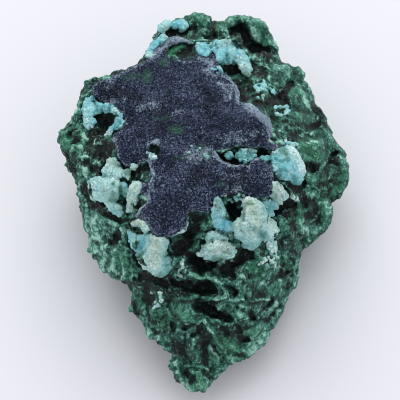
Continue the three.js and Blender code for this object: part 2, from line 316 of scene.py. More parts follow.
def frayed(outline: Sequence[Sequence[float]], spacing: float, fray: float, seed: int) -> np.ndarray:
    """An outline cut into short steps that wander a little to each side.

    Args:
        outline: Corners of the outline.
        spacing: Length of a step.
        fray: How far the steps wander.
        seed: Sets apart one use from another.

    Returns:
        The corners of the finer outline.
    """
    corners = np.asarray(outline, float)
    steps = []
    for start, end in zip(corners, np.roll(corners, -1, axis=0)):
        count = max(1, int(np.linalg.norm(end - start) / spacing))
        steps += [start + (end - start) * i / count for i in range(count)]
    line = np.array(steps)
    wander = noise_sum(flat(*line.T), (1.3, 1.0, seed), (0.6, 0.7, seed + 1))
    return line + sideways(line) * (wander * fray)[:, None]


# ---------------------------------------------------------------- mesh helpers

Shape = tuple[np.ndarray, np.ndarray]


def deselect() -> None:
    """Leaves object mode with nothing selected."""
    if bpy.context.mode != "OBJECT":
        bpy.ops.object.mode_set(mode="OBJECT")
    bpy.ops.object.select_all(action="DESELECT")


def only(obj: bpy.types.Object) -> None:
    """Selects one object alone and makes it active.

    Args:
        obj: The object.
    """
    deselect()
    obj.select_set(True)
    bpy.context.view_layer.objects.active = obj


def edit(obj: bpy.types.Object, action: str) -> None:
    """Opens one object alone in edit mode, with all of it (SELECT) or nothing (DESELECT) selected.

    Args:
        obj: The object.
        action: What happens to the selection.
    """
    only(obj)
    bpy.ops.object.mode_set(mode="EDIT")
    bpy.ops.mesh.select_all(action=action)


def modified(obj: bpy.types.Object, name: str, kind: str, **settings: object) -> None:
    """Adds a modifier with its settings and applies it.

    Args:
        obj: The mesh object.
        name: The modifier's name.
        kind: The modifier's type.
        settings: Its properties.
    """
    modifier = obj.modifiers.new(name, kind)
    for setting, value in settings.items():
        setattr(modifier, setting, value)
    bpy.ops.object.modifier_apply(modifier=name)


def points_of(obj: bpy.types.Object) -> np.ndarray:
    """A mesh's vertices as an array in metres.

    Args:
        obj: The mesh object.

    Returns:
        One row for each vertex.
    """
    out = np.empty(len(obj.data.vertices) * 3)
    obj.data.vertices.foreach_get("co", out)
    return out.reshape(-1, 3)


def set_points(obj: bpy.types.Object, points: np.ndarray) -> None:
    """Moves a mesh's vertices to an array of places in metres."""
    obj.data.vertices.foreach_set("co", np.ascontiguousarray(points).ravel())
    obj.data.update()


def normals_of(obj: bpy.types.Object) -> np.ndarray:
    """A mesh's vertex normals as an array.

    Args:
        obj: The mesh object.

    Returns:
        One row for each vertex.
    """
    out = np.empty(len(obj.data.vertices) * 3)
    obj.data.vertex_normals.foreach_get("vector", out)
    return out.reshape(-1, 3)


def triangles_of(obj: bpy.types.Object) -> Shape:
    """A mesh's vertices and its triangles' corner numbers.

    Args:
        obj: The mesh object.

    Returns:
        The vertices in metres, and three corner numbers for each triangle.
    """
    mesh = obj.data
    mesh.calc_loop_triangles()
    faces = np.empty(len(mesh.loop_triangles) * 3, int)
    mesh.loop_triangles.foreach_get("vertices", faces)
    return points_of(obj), faces.reshape(-1, 3)


def triangle_count(obj: bpy.types.Object) -> int:
    """How many triangles a mesh's faces come to."""
    return sum(len(face.vertices) - 2 for face in obj.data.polygons)


def mesh_from(name: str, points: np.ndarray, faces: np.ndarray) -> bpy.types.Object:
    """Makes an object from arrays of points in metres and of triangles.

    Args:
        name: The new object's name.
        points: Vertices in metres.
        faces: Three vertex numbers for each face.

    Returns:
        The new object, linked to the scene.
    """
    mesh = bpy.data.meshes.new(name)
    mesh.vertices.add(len(points))
    mesh.vertices.foreach_set("co", np.ascontiguousarray(points, float).ravel())
    mesh.loops.add(faces.size)
    mesh.loops.foreach_set("vertex_index", np.ascontiguousarray(faces).ravel())
    mesh.polygons.add(len(faces))
    mesh.polygons.foreach_set("loop_start", np.arange(0, faces.size, 3))
    mesh.update(calc_edges=True)
    mesh.validate()
    obj = bpy.data.objects.new(name, mesh)
    bpy.context.scene.collection.objects.link(obj)
    return obj


def joined(parts: Iterable[Shape]) -> Shape:
    """Several (points, faces) pairs as one pair.

    Args:
        parts: The pairs.

    Returns:
        The one pair.
    """
    points, faces, count = [], [], 0
    for part_points, part_faces in parts:
        points.append(part_points)
        faces.append(part_faces + count)
        count += len(part_points)
    return np.concatenate(points), np.concatenate(faces)


def surface_tree(parts: Iterable[bpy.types.Object]) -> BVHTree:
    """Several objects' faces together, for finding their surface."""
    points, faces = joined(triangles_of(obj) for obj in parts)
    return BVHTree.FromPolygons([Vector(point) for point in points], faces.tolist())


def remeshed(obj: bpy.types.Object, voxel: float, passes: int) -> None:
    """Rebuilds a mesh as one closed skin and softens it.

    Args:
        obj: The object to change.
        voxel: Size of the new faces in millimetres.
        passes: How many times the skin is softened.
    """
    only(obj)
    modified(obj, "skin", "REMESH", mode="VOXEL", voxel_size=voxel * MM, use_smooth_shade=True)
    modified(obj, "soften", "SMOOTH", factor=0.5, iterations=passes)


def thinned(obj: bpy.types.Object, where: np.ndarray, keep: float) -> None:
    """Merges faces in one part of a mesh and leaves the rest as it is.

    Args:
        obj: The object to change.
        where: True for each vertex whose faces may be merged.
        keep: Share of those faces that is left.
    """
    group = obj.vertex_groups.new(name="thin")
    group.add(np.flatnonzero(where).tolist(), 1.0, "REPLACE")
    ratio = 1 - where.mean() * (1 - keep)
    only(obj)
    modified(obj, "thin", "DECIMATE", decimate_type="COLLAPSE", ratio=ratio, vertex_group=group.name)
    obj.vertex_groups.clear()


def thinned_to(obj: bpy.types.Object, limit: int) -> None:
    """Merges faces evenly until no more than a number of triangles is left.

    Args:
        obj: The mesh object.
        limit: The most triangles that may be left.
    """
    count = triangle_count(obj)
    if count > limit:
        thinned(obj, np.full(len(obj.data.vertices), True), limit / count)


def edge_ends(obj: bpy.types.Object) -> np.ndarray:
    """The two vertices of each edge, as two rows.

    Args:
        obj: The mesh object.

    Returns:
        Two rows of vertex numbers.
    """
    edges = np.empty(len(obj.data.edges) * 2, int)
    obj.data.edges.foreach_get("vertices", edges)
    return edges.reshape(-1, 2).T


def drop_shards(obj: bpy.types.Object, fewest: int) -> None:
    """Removes loose shells of only a few vertices, which remeshing can leave.

    Args:
        obj: The object to change.
        fewest: A shell with fewer vertices than this is removed.
    """
    one, other = edge_ends(obj)
    shell, before = np.arange(len(obj.data.vertices)), None
    while before is None or (shell != before).any():
        before = shell.copy()
        lower = np.minimum(shell[one], shell[other])
        np.minimum.at(shell, before[one], lower)
        np.minimum.at(shell, before[other], lower)
        shell = shell[shell]
    small = np.bincount(shell)[shell] < fewest
    edit(obj, "DESELECT")
    bpy.ops.object.mode_set(mode="OBJECT")
    obj.data.vertices.foreach_set("select", small)
    bpy.ops.object.mode_set(mode="EDIT")
    bpy.ops.mesh.delete(type="VERT")
    bpy.ops.object.mode_set(mode="OBJECT")


def select_badly_joined(flaps: bool) -> None:
    """Selects the vertices of open flaps, or of edges where more than two faces meet.

    Args:
        flaps: True for the flaps, False for the edges.
    """
    bpy.ops.mesh.select_all(action="DESELECT")
    kinds = {"use_boundary": flaps, "use_multi_face": not flaps}
    bpy.ops.mesh.select_non_manifold(use_wire=False, use_non_contiguous=False, use_verts=False, **kinds)


def mended(obj: bpy.types.Object) -> None:
    """Takes out the few faces that meet badly after thinning and closes the gaps.

    Args:
        obj: The mesh object.
    """
    edit(obj, "SELECT")
    bpy.ops.mesh.select_mode(type="VERT")
    bpy.ops.mesh.quads_convert_to_tris()
    select_badly_joined(flaps=True)
    bpy.ops.mesh.delete(type="ONLY_FACE")
    bpy.ops.mesh.select_all(action="SELECT")
    bpy.ops.mesh.delete_loose()
    select_badly_joined(flaps=False)
    bpy.ops.mesh.delete(type="VERT")
    bpy.ops.mesh.select_all(action="SELECT")
    bpy.ops.mesh.fill_holes(sides=0)
    bpy.ops.mesh.select_all(action="SELECT")
    bpy.ops.mesh.quads_convert_to_tris()
    bpy.ops.object.mode_set(mode="OBJECT")


def neighbour_mean(obj: bpy.types.Object, values: np.ndarray, passes: int) -> np.ndarray:
    """Averages values over a mesh's edges, again and again.

    Args:
        obj: The mesh object.
        values: One value or one row for each vertex.
        passes: How many times it is averaged.

    Returns:
        The averaged values.
    """
    one, other = edge_ends(obj)
    size = len(values)
    count = np.bincount(one, minlength=size) + np.bincount(other, minlength=size)
    rows = values.reshape(size, -1).astype(float)
    for _ in range(passes):
        for index, column in enumerate(rows.T.copy()):
            total = np.bincount(one, column[other], size) + np.bincount(other, column[one], size)
            rows[:, index] = 0.5 * column + 0.5 * total / np.maximum(count, 1)
    return rows.reshape(values.shape)


def relief(obj: bpy.types.Object, passes: int) -> np.ndarray:
    """How far each vertex stands above its surroundings, in millimetres.

    Args:
        obj: The mesh object.
        passes: How many times the surroundings are averaged.

    Returns:
        One height for each vertex.
    """
    points = points_of(obj)
    away = points - neighbour_mean(obj, points, passes)
    return np.einsum("ij,ij->i", away, normals_of(obj)) / MM


def mark(obj: bpy.types.Object, **marks: np.ndarray) -> None:
    """Stores numbers for each vertex under their names, for the materials to read.

    Args:
        obj: The mesh object.
        marks: One value for each vertex, by name.
    """
    for name, values in marks.items():
        layer = obj.data.attributes.new(name, "FLOAT", "POINT")
        layer.data.foreach_set("value", np.ascontiguousarray(values, np.float32))


def placed_balls(balls: Sequence[Sequence[float]]) -> tuple[np.ndarray, np.ndarray, np.ndarray]:
    """Places across and up and radii in millimetres, of balls given in grid steps."""
    steps = np.array(balls, float)
    return *from_grid(steps[:, :2]).T, steps[:, 2] * GRID_STEP


def balls_at(rows: np.ndarray, subdivisions: int) -> list[Shape]:
    """A ball at each row of (across, up, out, radius) on the face, copied from one primitive.

    Args:
        rows: Each ball, in millimetres.
        subdivisions: How finely a ball is faceted.

    Returns:
        One shape for each ball.
    """
    deselect()
    bpy.ops.mesh.primitive_ico_sphere_add(subdivisions=subdivisions, radius=1, location=(0, 0, 0))
    ball = bpy.context.object
    shape, faces = triangles_of(ball)
    bpy.data.objects.remove(ball)
    return [(shape * radius * MM + place, faces) for place, radius in zip(world(*rows[:, :3].T), rows[:, 3])]


def finish_piece(
    obj: bpy.types.Object, material: bpy.types.Material, smooth: bool = True
) -> bpy.types.Object:
    """Dresses a piece, rides it on the stone's body, hides the imported solid and logs its triangle count
    and lowest point.

    Args:
        obj: The finished mesh.
        material: The finish.
        smooth: Whether the faces are shaded smooth.

    Returns:
        The same object.
    """
    points = points_of(obj)
    points[:, 2] = np.maximum(points[:, 2], 0.0)
    set_points(obj, points)
    obj.data.materials.clear()
    obj.data.materials.append(material)
    obj.data.polygons.foreach_set("use_smooth", np.full(len(obj.data.polygons), smooth))
    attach(obj, "root")
    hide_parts(NODE)
    LOG.info("%s: %d triangles, lowest %.2f mm", obj.name, triangle_count(obj), points[:, 2].min() / MM)
    return obj


# ---------------------------------------------------------------- the stone's skin over the face


@dataclass
class FaceMap:
    """How far out the stone's skin lies over a grid on the face plane, in millimetres."""

    step: float = 0.4
    half_across: float = 29.0
    half_up: float = 38.0
    start_out: float = 60.0
    outside: float = -20.0
    values: np.ndarray = field(default_factory=lambda: np.zeros((0, 0)))

    def measure(self, tree: BVHTree) -> "FaceMap":
        """Fills the grid by looking back onto the stone.

        Args:
            tree: The stone's faces, in metres.

        Returns:
            This map.
        """
        sizes = [int(2 * half / self.step + 0.5) + 1 for half in (self.half_across, self.half_up)]
        self.values = np.full(sizes, self.outside)
        back = Vector(-OUT)
        for index, (a, b) in zip(np.ndindex(*sizes), np.stack(self.places(), axis=-1).reshape(-1, 2)):
            hit = tree.ray_cast(Vector(world(a, b, self.start_out)), back)[0]
            if hit is not None:
                self.values[index] = on_face(np.array(hit))[2]
        return self

    def places(self) -> tuple[np.ndarray, np.ndarray]:
        """The grid's places across and up.

        Returns:
            Two grids of places in millimetres.
        """
        across = np.arange(self.values.shape[0]) * self.step - self.half_across
        up = np.arange(self.values.shape[1]) * self.step - self.half_up
        return np.meshgrid(across, up, indexing="ij")

    def at(self, a: np.ndarray, b: np.ndarray) -> np.ndarray:
        """Height over any places, between the grid's own.

        Args:
            a: Places across.
            b: Places up.

        Returns:
            One height for each place.
        """
        last_i, last_j = np.array(self.values.shape) - 1.001
        i = np.clip((np.asarray(a, float) + self.half_across) / self.step, 0, last_i)
        j = np.clip((np.asarray(b, float) + self.half_up) / self.step, 0, last_j)
        i0, j0 = i.astype(int), j.astype(int)
        fi, fj = i - i0, j - j0
        v = self.values
        low = v[i0, j0] * (1 - fi) + v[i0 + 1, j0] * fi
        high = v[i0, j0 + 1] * (1 - fi) + v[i0 + 1, j0 + 1] * fi
        return low * (1 - fj) + high * fj

    def spread(self, keep: np.ndarray, passes: int) -> "FaceMap":
        """A softened copy that only trusts some of the grid.

        Args:
            keep: Which grid places are trusted.
            passes: How far the trusted heights are blended and carried outwards.

        Returns:
            A new map.
        """
        total = np.where(keep, self.values, 0.0)
        weight = keep.astype(float)
        for _ in range(passes):
            for axis in (0, 1):
                total = total + 0.5 * (np.roll(total, 1, axis) + np.roll(total, -1, axis))
                weight = weight + 0.5 * (np.roll(weight, 1, axis) + np.roll(weight, -1, axis))
                total, weight = total / 2, weight / 2
        soft = np.where(weight > TINY, total / np.maximum(weight, TINY), self.values)
        return replace(self, values=soft)


@dataclass
class Skin:
    """A mesh's vertices as they are now, also as places on the display face in millimetres."""

    obj: bpy.types.Object

    def __post_init__(self) -> None:
        """Reads the vertices."""
        self.points = points_of(self.obj)
        self.normals = normals_of(self.obj)
        self.place = self.points / MM
        self.a, self.b, self.c = on_face(self.points).T

    def noise(self, *layers: Layer) -> np.ndarray:
        """Noise at each vertex, in layers of (length, height, seed)."""
        return noise_sum(self.place, *layers)

    def facing(self, low: float, high: float) -> np.ndarray:
        """0 where the surface looks away from the display face's direction, 1 where it looks along it."""
        return smooth_step(low, high, self.normals @ OUT)

    def drawn(self, lines: Sequence[Sequence], wander: np.ndarray, inner: float, outer: float) -> np.ndarray:
        """Strength of the lines that are drawn over each vertex."""
        return strokes(self.a, self.b, lines, wander, inner, outer)

    def stray(self, *layers: Layer) -> None:
        """Moves each vertex's place on the face a little, so that what is drawn there is ragged."""
        self.a = self.a + self.noise(*layers)
        self.b = self.b + self.noise(*[(length, height, seed + 1) for length, height, seed in layers])

    def raised(self, height: np.ndarray) -> np.ndarray:
        """The vertices in metres, moved out along their normals by some millimetres."""
        return self.points + self.normals * (height * MM)[:, None]


# ---------------------------------------------------------------- where things grow


class Tint(Enum):
    """Which of the chrysocolla's colours a growth leans to."""

    PALE = 0.0
    CYAN = 1.0
    BEIGE = 2.0


@dataclass(frozen=True)
class Growth:
    """A knobbly swelling of chrysocolla, drawn by its edge on the display face."""

    name: str
    tint: Tint
    rise: float
    roundness: float
    knob: float
    edge: tuple[int, ...]

    fill_spacing: ClassVar[float] = 0.34
    least_radius: ClassVar[float] = 0.24
    root_share: ClassVar[float] = 0.35
    uneven_length: ClassVar[float] = 1.7
    unevenness: ClassVar[float] = 0.22
    lobe_spacing: ClassVar[float] = 0.4
    largest_lobe: ClassVar[float] = 1.5
    lobe_gap: ClassVar[float] = 0.75
    lobe_stand: ClassVar[float] = 0.28
    knob_spacing: ClassVar[float] = 1.9
    knob_sink: ClassVar[float] = 0.6

    def balls(self, ground: FaceMap, seed: int) -> np.ndarray:
        """Overlapping balls that fill the swelling.

        Args:
            ground: The malachite's height under it.
            seed: Sets apart one growth from another.

        Returns:
            One row of (across, up, out, radius) for each ball.
        """
        rng = np.random.default_rng(seed)
        a, b, depth = self.scattered(rng, self.fill_spacing, 0.05)
        height = self.height(depth) * self.uneven(a, b, seed)
        radius = np.clip(depth + 0.03, self.least_radius, self.roundness) * rng.uniform(0.86, 1.0, a.size)
        radius = np.minimum(radius, 0.75 * self.rise)
        base = ground.at(a, b)
        upper = np.column_stack([a, b, base + height - radius, radius])
        lower = np.column_stack([a, b, base + self.root_share * (height - radius), radius])
        lobes = self.lobes(ground, rng)
        a, b, depth = self.scattered(rng, self.knob_spacing * self.knob, 0.0)
        radius = self.knob * rng.uniform(0.45, 0.95, a.size)
        height = self.height(depth) * self.uneven(a, b, seed)
        knobs = np.column_stack([a, b, ground.at(a, b) + height - self.knob_sink * radius, radius])
        return np.concatenate([upper, lower, lobes, knobs])

    def lobes(self, ground: FaceMap, rng: np.random.Generator) -> np.ndarray:
        """Rounded lobes that crowd the swelling, the largest in its middle.

        Args:
            ground: The stone's height under it.
            rng: Random numbers.

        Returns:
            One row of (across, up, out, radius) for each lobe.
        """
        a, b, depth = self.scattered(rng, self.lobe_spacing, 0.1)
        kept: list[tuple[float, float, float, float]] = []
        for i in rng.permutation(a.size):
            radius = min(0.85 * depth[i] + 0.3, self.largest_lobe) * rng.uniform(0.75, 1.0)
            if all(math.dist((a[i], b[i]), one[:2]) > self.lobe_gap * (radius + one[3]) for one in kept):
                top = self.height(depth[i]) + self.lobe_stand * radius
                kept.append((a[i], b[i], float(ground.at(a[i], b[i])) + top - radius, radius))
        return np.array(kept)

    def height(self, depth: np.ndarray) -> np.ndarray:
        """How high the swelling stands, at some distance inside its edge."""
        inward = np.clip(depth / self.roundness, 0, 1)
        return self.rise * np.sqrt(1 - (1 - inward) ** 2)

    def uneven(self, a: np.ndarray, b: np.ndarray, seed: int) -> np.ndarray:
        """About 1 everywhere, more or less from place to place."""
        return 1 + self.unevenness * soft_noise(flat(a, b), self.uneven_length, seed)

    def scattered(
        self, rng: np.random.Generator, spacing: float, margin: float
    ) -> tuple[np.ndarray, np.ndarray, np.ndarray]:
        """Uneven places inside the edge, and how deep inside each lies.

        Args:
            rng: Random numbers.
            spacing: How far apart the places are.
            margin: Least depth that counts.

        Returns:
            The places across and up, and their depths.
        """
        edge = from_grid(self.edge)
        low, high = edge.min(0), edge.max(0)
        a, b = np.meshgrid(np.arange(low[0], high[0], spacing), np.arange(low[1], high[1], spacing))
        a = a.ravel() + rng.uniform(-0.5, 0.5, a.size) * spacing
        b = b.ravel() + rng.uniform(-0.5, 0.5, b.size) * spacing
        depth = edge_distance(a, b, edge)
        keep = depth > margin
        return a[keep], b[keep], depth[keep]


# Edge of the azurite crust.
CRUST_EDGE = from_grid((
    93, 86, 97, 83, 104, 80, 112, 77, 122, 73, 133, 68, 142, 63, 148, 59, 149, 54, 156, 48, 162, 43,
    168, 38, 175, 35, 182, 37, 188, 40, 193, 44, 197, 49, 200, 55, 204, 57, 207, 58, 211, 54, 215, 55,
    217, 60, 217, 65, 222, 71, 229, 78, 236, 86, 239, 93, 238, 99, 239, 104, 246, 103, 254, 107, 262, 113,
    269, 120, 272, 128, 271, 136, 268, 141, 276, 145, 281, 147, 279, 150, 268, 150, 258, 147, 248, 150,
    240, 146, 231, 149, 222, 150, 215, 152, 219, 158, 226, 163, 234, 166, 243, 165, 248, 166, 251, 160,
    256, 158, 263, 161, 270, 165, 273, 172, 273, 179, 271, 186, 272, 193, 268, 197, 259, 198, 248, 196,
    240, 192, 229, 194, 220, 198, 212, 203, 211, 209, 206, 213, 198, 211, 190, 211, 186, 215, 188, 222,
    186, 229, 180, 233, 172, 236, 164, 238, 156, 235, 151, 229, 147, 223, 140, 220, 136, 216, 139, 210,
    145, 206, 149, 200, 148, 197, 142, 194, 138, 189, 133, 185, 139, 181, 147, 184, 151, 181, 153, 176,
    150, 169, 149, 162, 143, 163, 137, 166, 128, 167, 122, 162, 119, 155, 117, 146, 113, 141, 114, 135,
    121, 131, 125, 126, 124, 117, 118, 111, 110, 105, 101, 101, 95, 97, 92, 92,
))

# Width in millimetres of the pale seam that shows past the azurite's edge.
SEAM_WIDTHS = [
    (253, 108, 0.3), (262, 114, 0.35), (268, 122, 0.4), (270, 130, 0.4), (266, 139, 0.5), (237, 93, 0.35),
    (235, 87, 0.35), (229, 79, 0.4), (221, 76, 0.5), (246, 105, 0.4), (277, 149, 0.1), (250, 145, 0.1),
    (226, 150, 0.15), (222, 162, 0.35), (231, 166, 0.4), (246, 166, 0.35), (274, 172, 0.15),
    (265, 194, 0.25), (249, 197, 0.25), (226, 195, 0.25), (213, 202, 0.1), (200, 213, 0.05),
    (187, 221, 0.3), (184, 230, 0.4), (168, 237, 0.25), (154, 232, 0.4), (140, 220, 0.45),
    (138, 214, 0.35), (148, 199, 0.2), (132, 189, 0.35), (150, 183, 0.1), (149, 170, 0.15),
    (131, 166, 0.25), (119, 152, 0.1), (114, 137, 0.3), (125, 121, 0.25), (106, 103, 0.2), (96, 88, 0.1),
    (125, 76, 0.0), (172, 64, 0.0), (154, 51, 0.2), (175, 36, 0.3), (201, 57, 0.2),
]

# The chrysocolla growths: name, tint, rise, roundness and knob size in millimetres, and edge.
GROWTHS = [
    Growth("ring_left", Tint.CYAN, 1.2, 1.0, 0.42, (
        82, 109, 84, 103, 88, 98, 93, 97, 96, 100, 98, 105, 97, 110, 96, 114, 94, 118, 97, 121, 96,
        125, 92, 128, 89, 131, 86, 129, 84, 124, 83, 117,
    )),
    Growth("ring_top", Tint.CYAN, 0.9, 0.8, 0.36, (
        95, 101, 101, 103, 105, 104, 110, 104, 114, 106, 118, 109, 121, 113, 119, 115, 115, 114,
        111, 113, 107, 114, 103, 112, 99, 114, 96, 113,
    )),
    Growth("ring_right", Tint.CYAN, 1.0, 0.7, 0.32, (
        119, 112, 123, 116, 125, 122, 123, 128, 118, 130, 114, 132, 111, 136, 108, 139, 105, 135,
        108, 131, 112, 127, 115, 123, 117, 118,
    )),
    Growth("left_lump", Tint.PALE, 2.1, 2.2, 0.5, (
        89, 180, 96, 177, 104, 177, 109, 175, 115, 174, 119, 178, 122, 182, 124, 188, 122, 195, 118, 201,
        113, 204, 106, 203, 99, 201, 93, 200, 90, 194, 88, 187,
    )),
    Growth("left_brow", Tint.PALE, 1.5, 1.1, 0.4, (
        103, 172, 104, 168, 108, 164, 107, 160, 111, 157, 116, 158, 119, 162, 122, 166, 124, 171,
        123, 178, 118, 180, 112, 179, 107, 178, 103, 176,
    )),
    Growth("brow_side", Tint.BEIGE, 0.8, 0.6, 0.3, (
        124, 170, 127, 168, 131, 170, 132, 175, 129, 180, 125, 178,
    )),
    Growth("brow_end", Tint.BEIGE, 0.7, 0.5, 0.25, (
        130, 168, 134, 165, 140, 165, 137, 169, 132, 171,
    )),
    Growth("left_foot", Tint.PALE, 1.1, 0.8, 0.35, (
        104, 202, 112, 202, 119, 202, 122, 206, 124, 212, 122, 217, 117, 216, 112, 211, 107, 206,
    )),
    Growth("left_strip", Tint.CYAN, 1.3, 0.7, 0.3, (
        122, 181, 128, 183, 129, 190, 127, 196, 123, 199, 122, 190,
    )),
    Growth("upper_cup", Tint.BEIGE, 1.3, 0.7, 0.25, (
        136, 181, 143, 183, 142, 190, 139, 196, 137, 203, 134, 210, 131, 213, 127, 212, 128, 203,
        128, 195, 130, 188, 133, 183,
    )),
    Growth("lower_cup", Tint.BEIGE, 1.3, 0.8, 0.3, (
        132, 223, 137, 219, 142, 220, 148, 224, 152, 228, 149, 232, 145, 232, 141, 227, 137, 226,
        134, 227,
    )),
    Growth("low_shoulder", Tint.CYAN, 1.7, 1, 0.45, (
        128, 231, 134, 232, 138, 236, 146, 234, 152, 233, 156, 238, 151, 244, 144, 249, 137, 252,
        132, 247, 130, 240,
    )),
    Growth("low_lump", Tint.BEIGE, 2.6, 2.4, 0.55, (
        150, 236, 158, 235, 165, 238, 171, 240, 167, 246, 167, 252, 170, 258, 171, 266, 168, 273,
        162, 277, 156, 275, 151, 270, 145, 268, 140, 262, 136, 255, 140, 250, 147, 243,
    )),
    Growth("tongue_tip", Tint.BEIGE, 0.7, 0.6, 0.3, (
        177, 229, 181, 227, 185, 226, 187, 218, 189, 224, 185, 231, 180, 234, 176, 232,
    )),
    Growth("mid_column", Tint.CYAN, 1.9, 1.3, 0.4, (
        212, 205, 214, 199, 218, 196, 222, 201, 223, 206, 226, 211, 225, 217, 223, 220, 228, 220,
        232, 223, 232, 230, 228, 233, 222, 232, 216, 229, 213, 223, 211, 216,
    )),
    Growth("mid_neck", Tint.PALE, 1.7, 1.1, 0.4, (
        205, 238, 207, 232, 213, 229, 220, 233, 227, 235, 229, 241, 221, 242, 212, 242,
    )),
    Growth("mid_lump", Tint.BEIGE, 2.3, 1.9, 0.5, (
        201, 248, 203, 243, 210, 240, 218, 238, 225, 240, 230, 243, 234, 248, 236, 252, 232, 257,
        226, 259, 220, 258, 213, 260, 206, 258, 202, 253,
    )),
    Growth("mid_wing", Tint.PALE, 0.8, 0.4, 0.25, (
        196, 253, 201, 251, 206, 252, 204, 255, 199, 255,
    )),
    Growth("great_lump", Tint.BEIGE, 2.9, 2.2, 0.55, (
        241, 201, 247, 197, 253, 198, 259, 201, 264, 206, 268, 213, 270, 219, 275, 223, 278, 229,
        276, 235, 272, 239, 266, 240, 260, 242, 256, 247, 250, 249, 244, 247, 240, 240, 235, 238,
        232, 232, 230, 226, 234, 220, 240, 217, 241, 209,
    )),
    Growth("great_side", Tint.CYAN, 1.7, 0.9, 0.35, (
        261, 202, 268, 198, 275, 203, 277, 208, 272, 210, 274, 215, 269, 218, 266, 211,
    )),
    Growth("edge_lump", Tint.BEIGE, 1.9, 1.2, 0.4, (
        271, 183, 276, 180, 281, 186, 285, 191, 287, 196, 284, 202, 278, 206, 272, 202, 269, 197,
        272, 190,
    )),
    Growth("right_lump", Tint.CYAN, 2.6, 2.1, 0.5, (
        269, 160, 271, 153, 276, 150, 283, 147, 288, 146, 294, 148, 298, 153, 301, 159, 304, 164,
        305, 172, 303, 179, 300, 184, 296, 185, 290, 183, 287, 180, 281, 180, 276, 177, 273, 170,
        271, 165,
    )),
    Growth("recess_left", Tint.CYAN, 0.5, 0.5, 0.3, (
        223, 155, 229, 152, 234, 156, 231, 161, 226, 161,
    )),
    Growth("recess_right", Tint.CYAN, 0.7, 0.8, 0.3, (
        235, 158, 236, 153, 240, 150, 246, 149, 252, 149, 256, 152, 255, 157, 250, 161, 246, 164,
        240, 163,
    )),
    Growth("recess_end", Tint.CYAN, 0.4, 0.5, 0.25, (
        257, 157, 266, 156, 271, 159, 263, 163,
    )),
    Growth("top_mass", Tint.CYAN, 2, 1.3, 0.42, (
        195, 48, 198, 43, 205, 42, 211, 40, 218, 40, 224, 39, 232, 37, 238, 41, 242, 46, 246, 51, 250, 57,
        251, 63, 248, 68, 243, 68, 239, 63, 233, 61, 228, 64, 222, 64, 217, 62, 214, 58, 216, 53, 210, 54,
        206, 58, 201, 57, 197, 53,
    )),
    Growth("top_drip", Tint.CYAN, 0.6, 0.6, 0.3, (
        208, 69, 213, 66, 218, 65, 223, 70, 222, 76, 215, 78, 210, 74,
    )),
    Growth("top_skirt", Tint.PALE, 1.1, 0.9, 0.3, (
        235, 60, 243, 60, 250, 62, 252, 69, 250, 77, 246, 78, 243, 73, 239, 67,
    )),
    Growth("corner_knob", Tint.PALE, 1.6, 1.1, 0.4, (
        157, 28, 160, 23, 165, 19, 171, 20, 171, 27, 166, 30, 161, 33,
    )),
    Growth("corner_ball", Tint.CYAN, 1.7, 1.1, 0.4, (
        170, 24, 175, 20, 181, 18, 187, 21, 188, 27, 184, 30, 178, 29, 172, 28,
    )),
    Growth("corner_crust", Tint.CYAN, 1.3, 0.9, 0.35, (
        148, 50, 150, 44, 154, 40, 158, 37, 163, 33, 168, 37, 166, 41, 159, 46, 153, 50, 150, 53,
    )),
    Growth("corner_foot", Tint.PALE, 0.8, 0.7, 0.3, (
        145, 57, 148, 51, 154, 52, 158, 55, 152, 59,
    )),
    Growth("right_tuft", Tint.CYAN, 0.6, 0.5, 0.3, (
        253, 86, 256, 83, 260, 84, 264, 80, 267, 82, 266, 86, 269, 89, 266, 92, 261, 91, 257, 93,
    )),
    Growth("right_fleck", Tint.CYAN, 0.7, 0.5, 0.25, (
        269, 87, 275, 89, 277, 95, 272, 95,
    )),
    Growth("right_ring", Tint.CYAN, 0.95, 0.6, 0.28, (
        273, 109, 278, 105, 287, 105, 291, 109, 289, 115, 282, 117, 275, 115, 274, 112, 279, 112,
        283, 114, 286, 111, 283, 108, 279, 109, 276, 110,
    )),
    Growth("right_shelf", Tint.CYAN, 0.8, 0.5, 0.25, (
        280, 140, 286, 141, 292, 142, 298, 144, 294, 147, 287, 146,
    )),
    Growth("right_bead", Tint.PALE, 1.2, 0.9, 0.35, (
        265, 243, 270, 239, 275, 242, 277, 248, 273, 253, 267, 251,
    )),
    Growth("pit_lip", Tint.CYAN, 1.1, 0.5, 0.25, (
        149, 154, 154, 154, 159, 158, 156, 161, 151, 160,
    )),
]

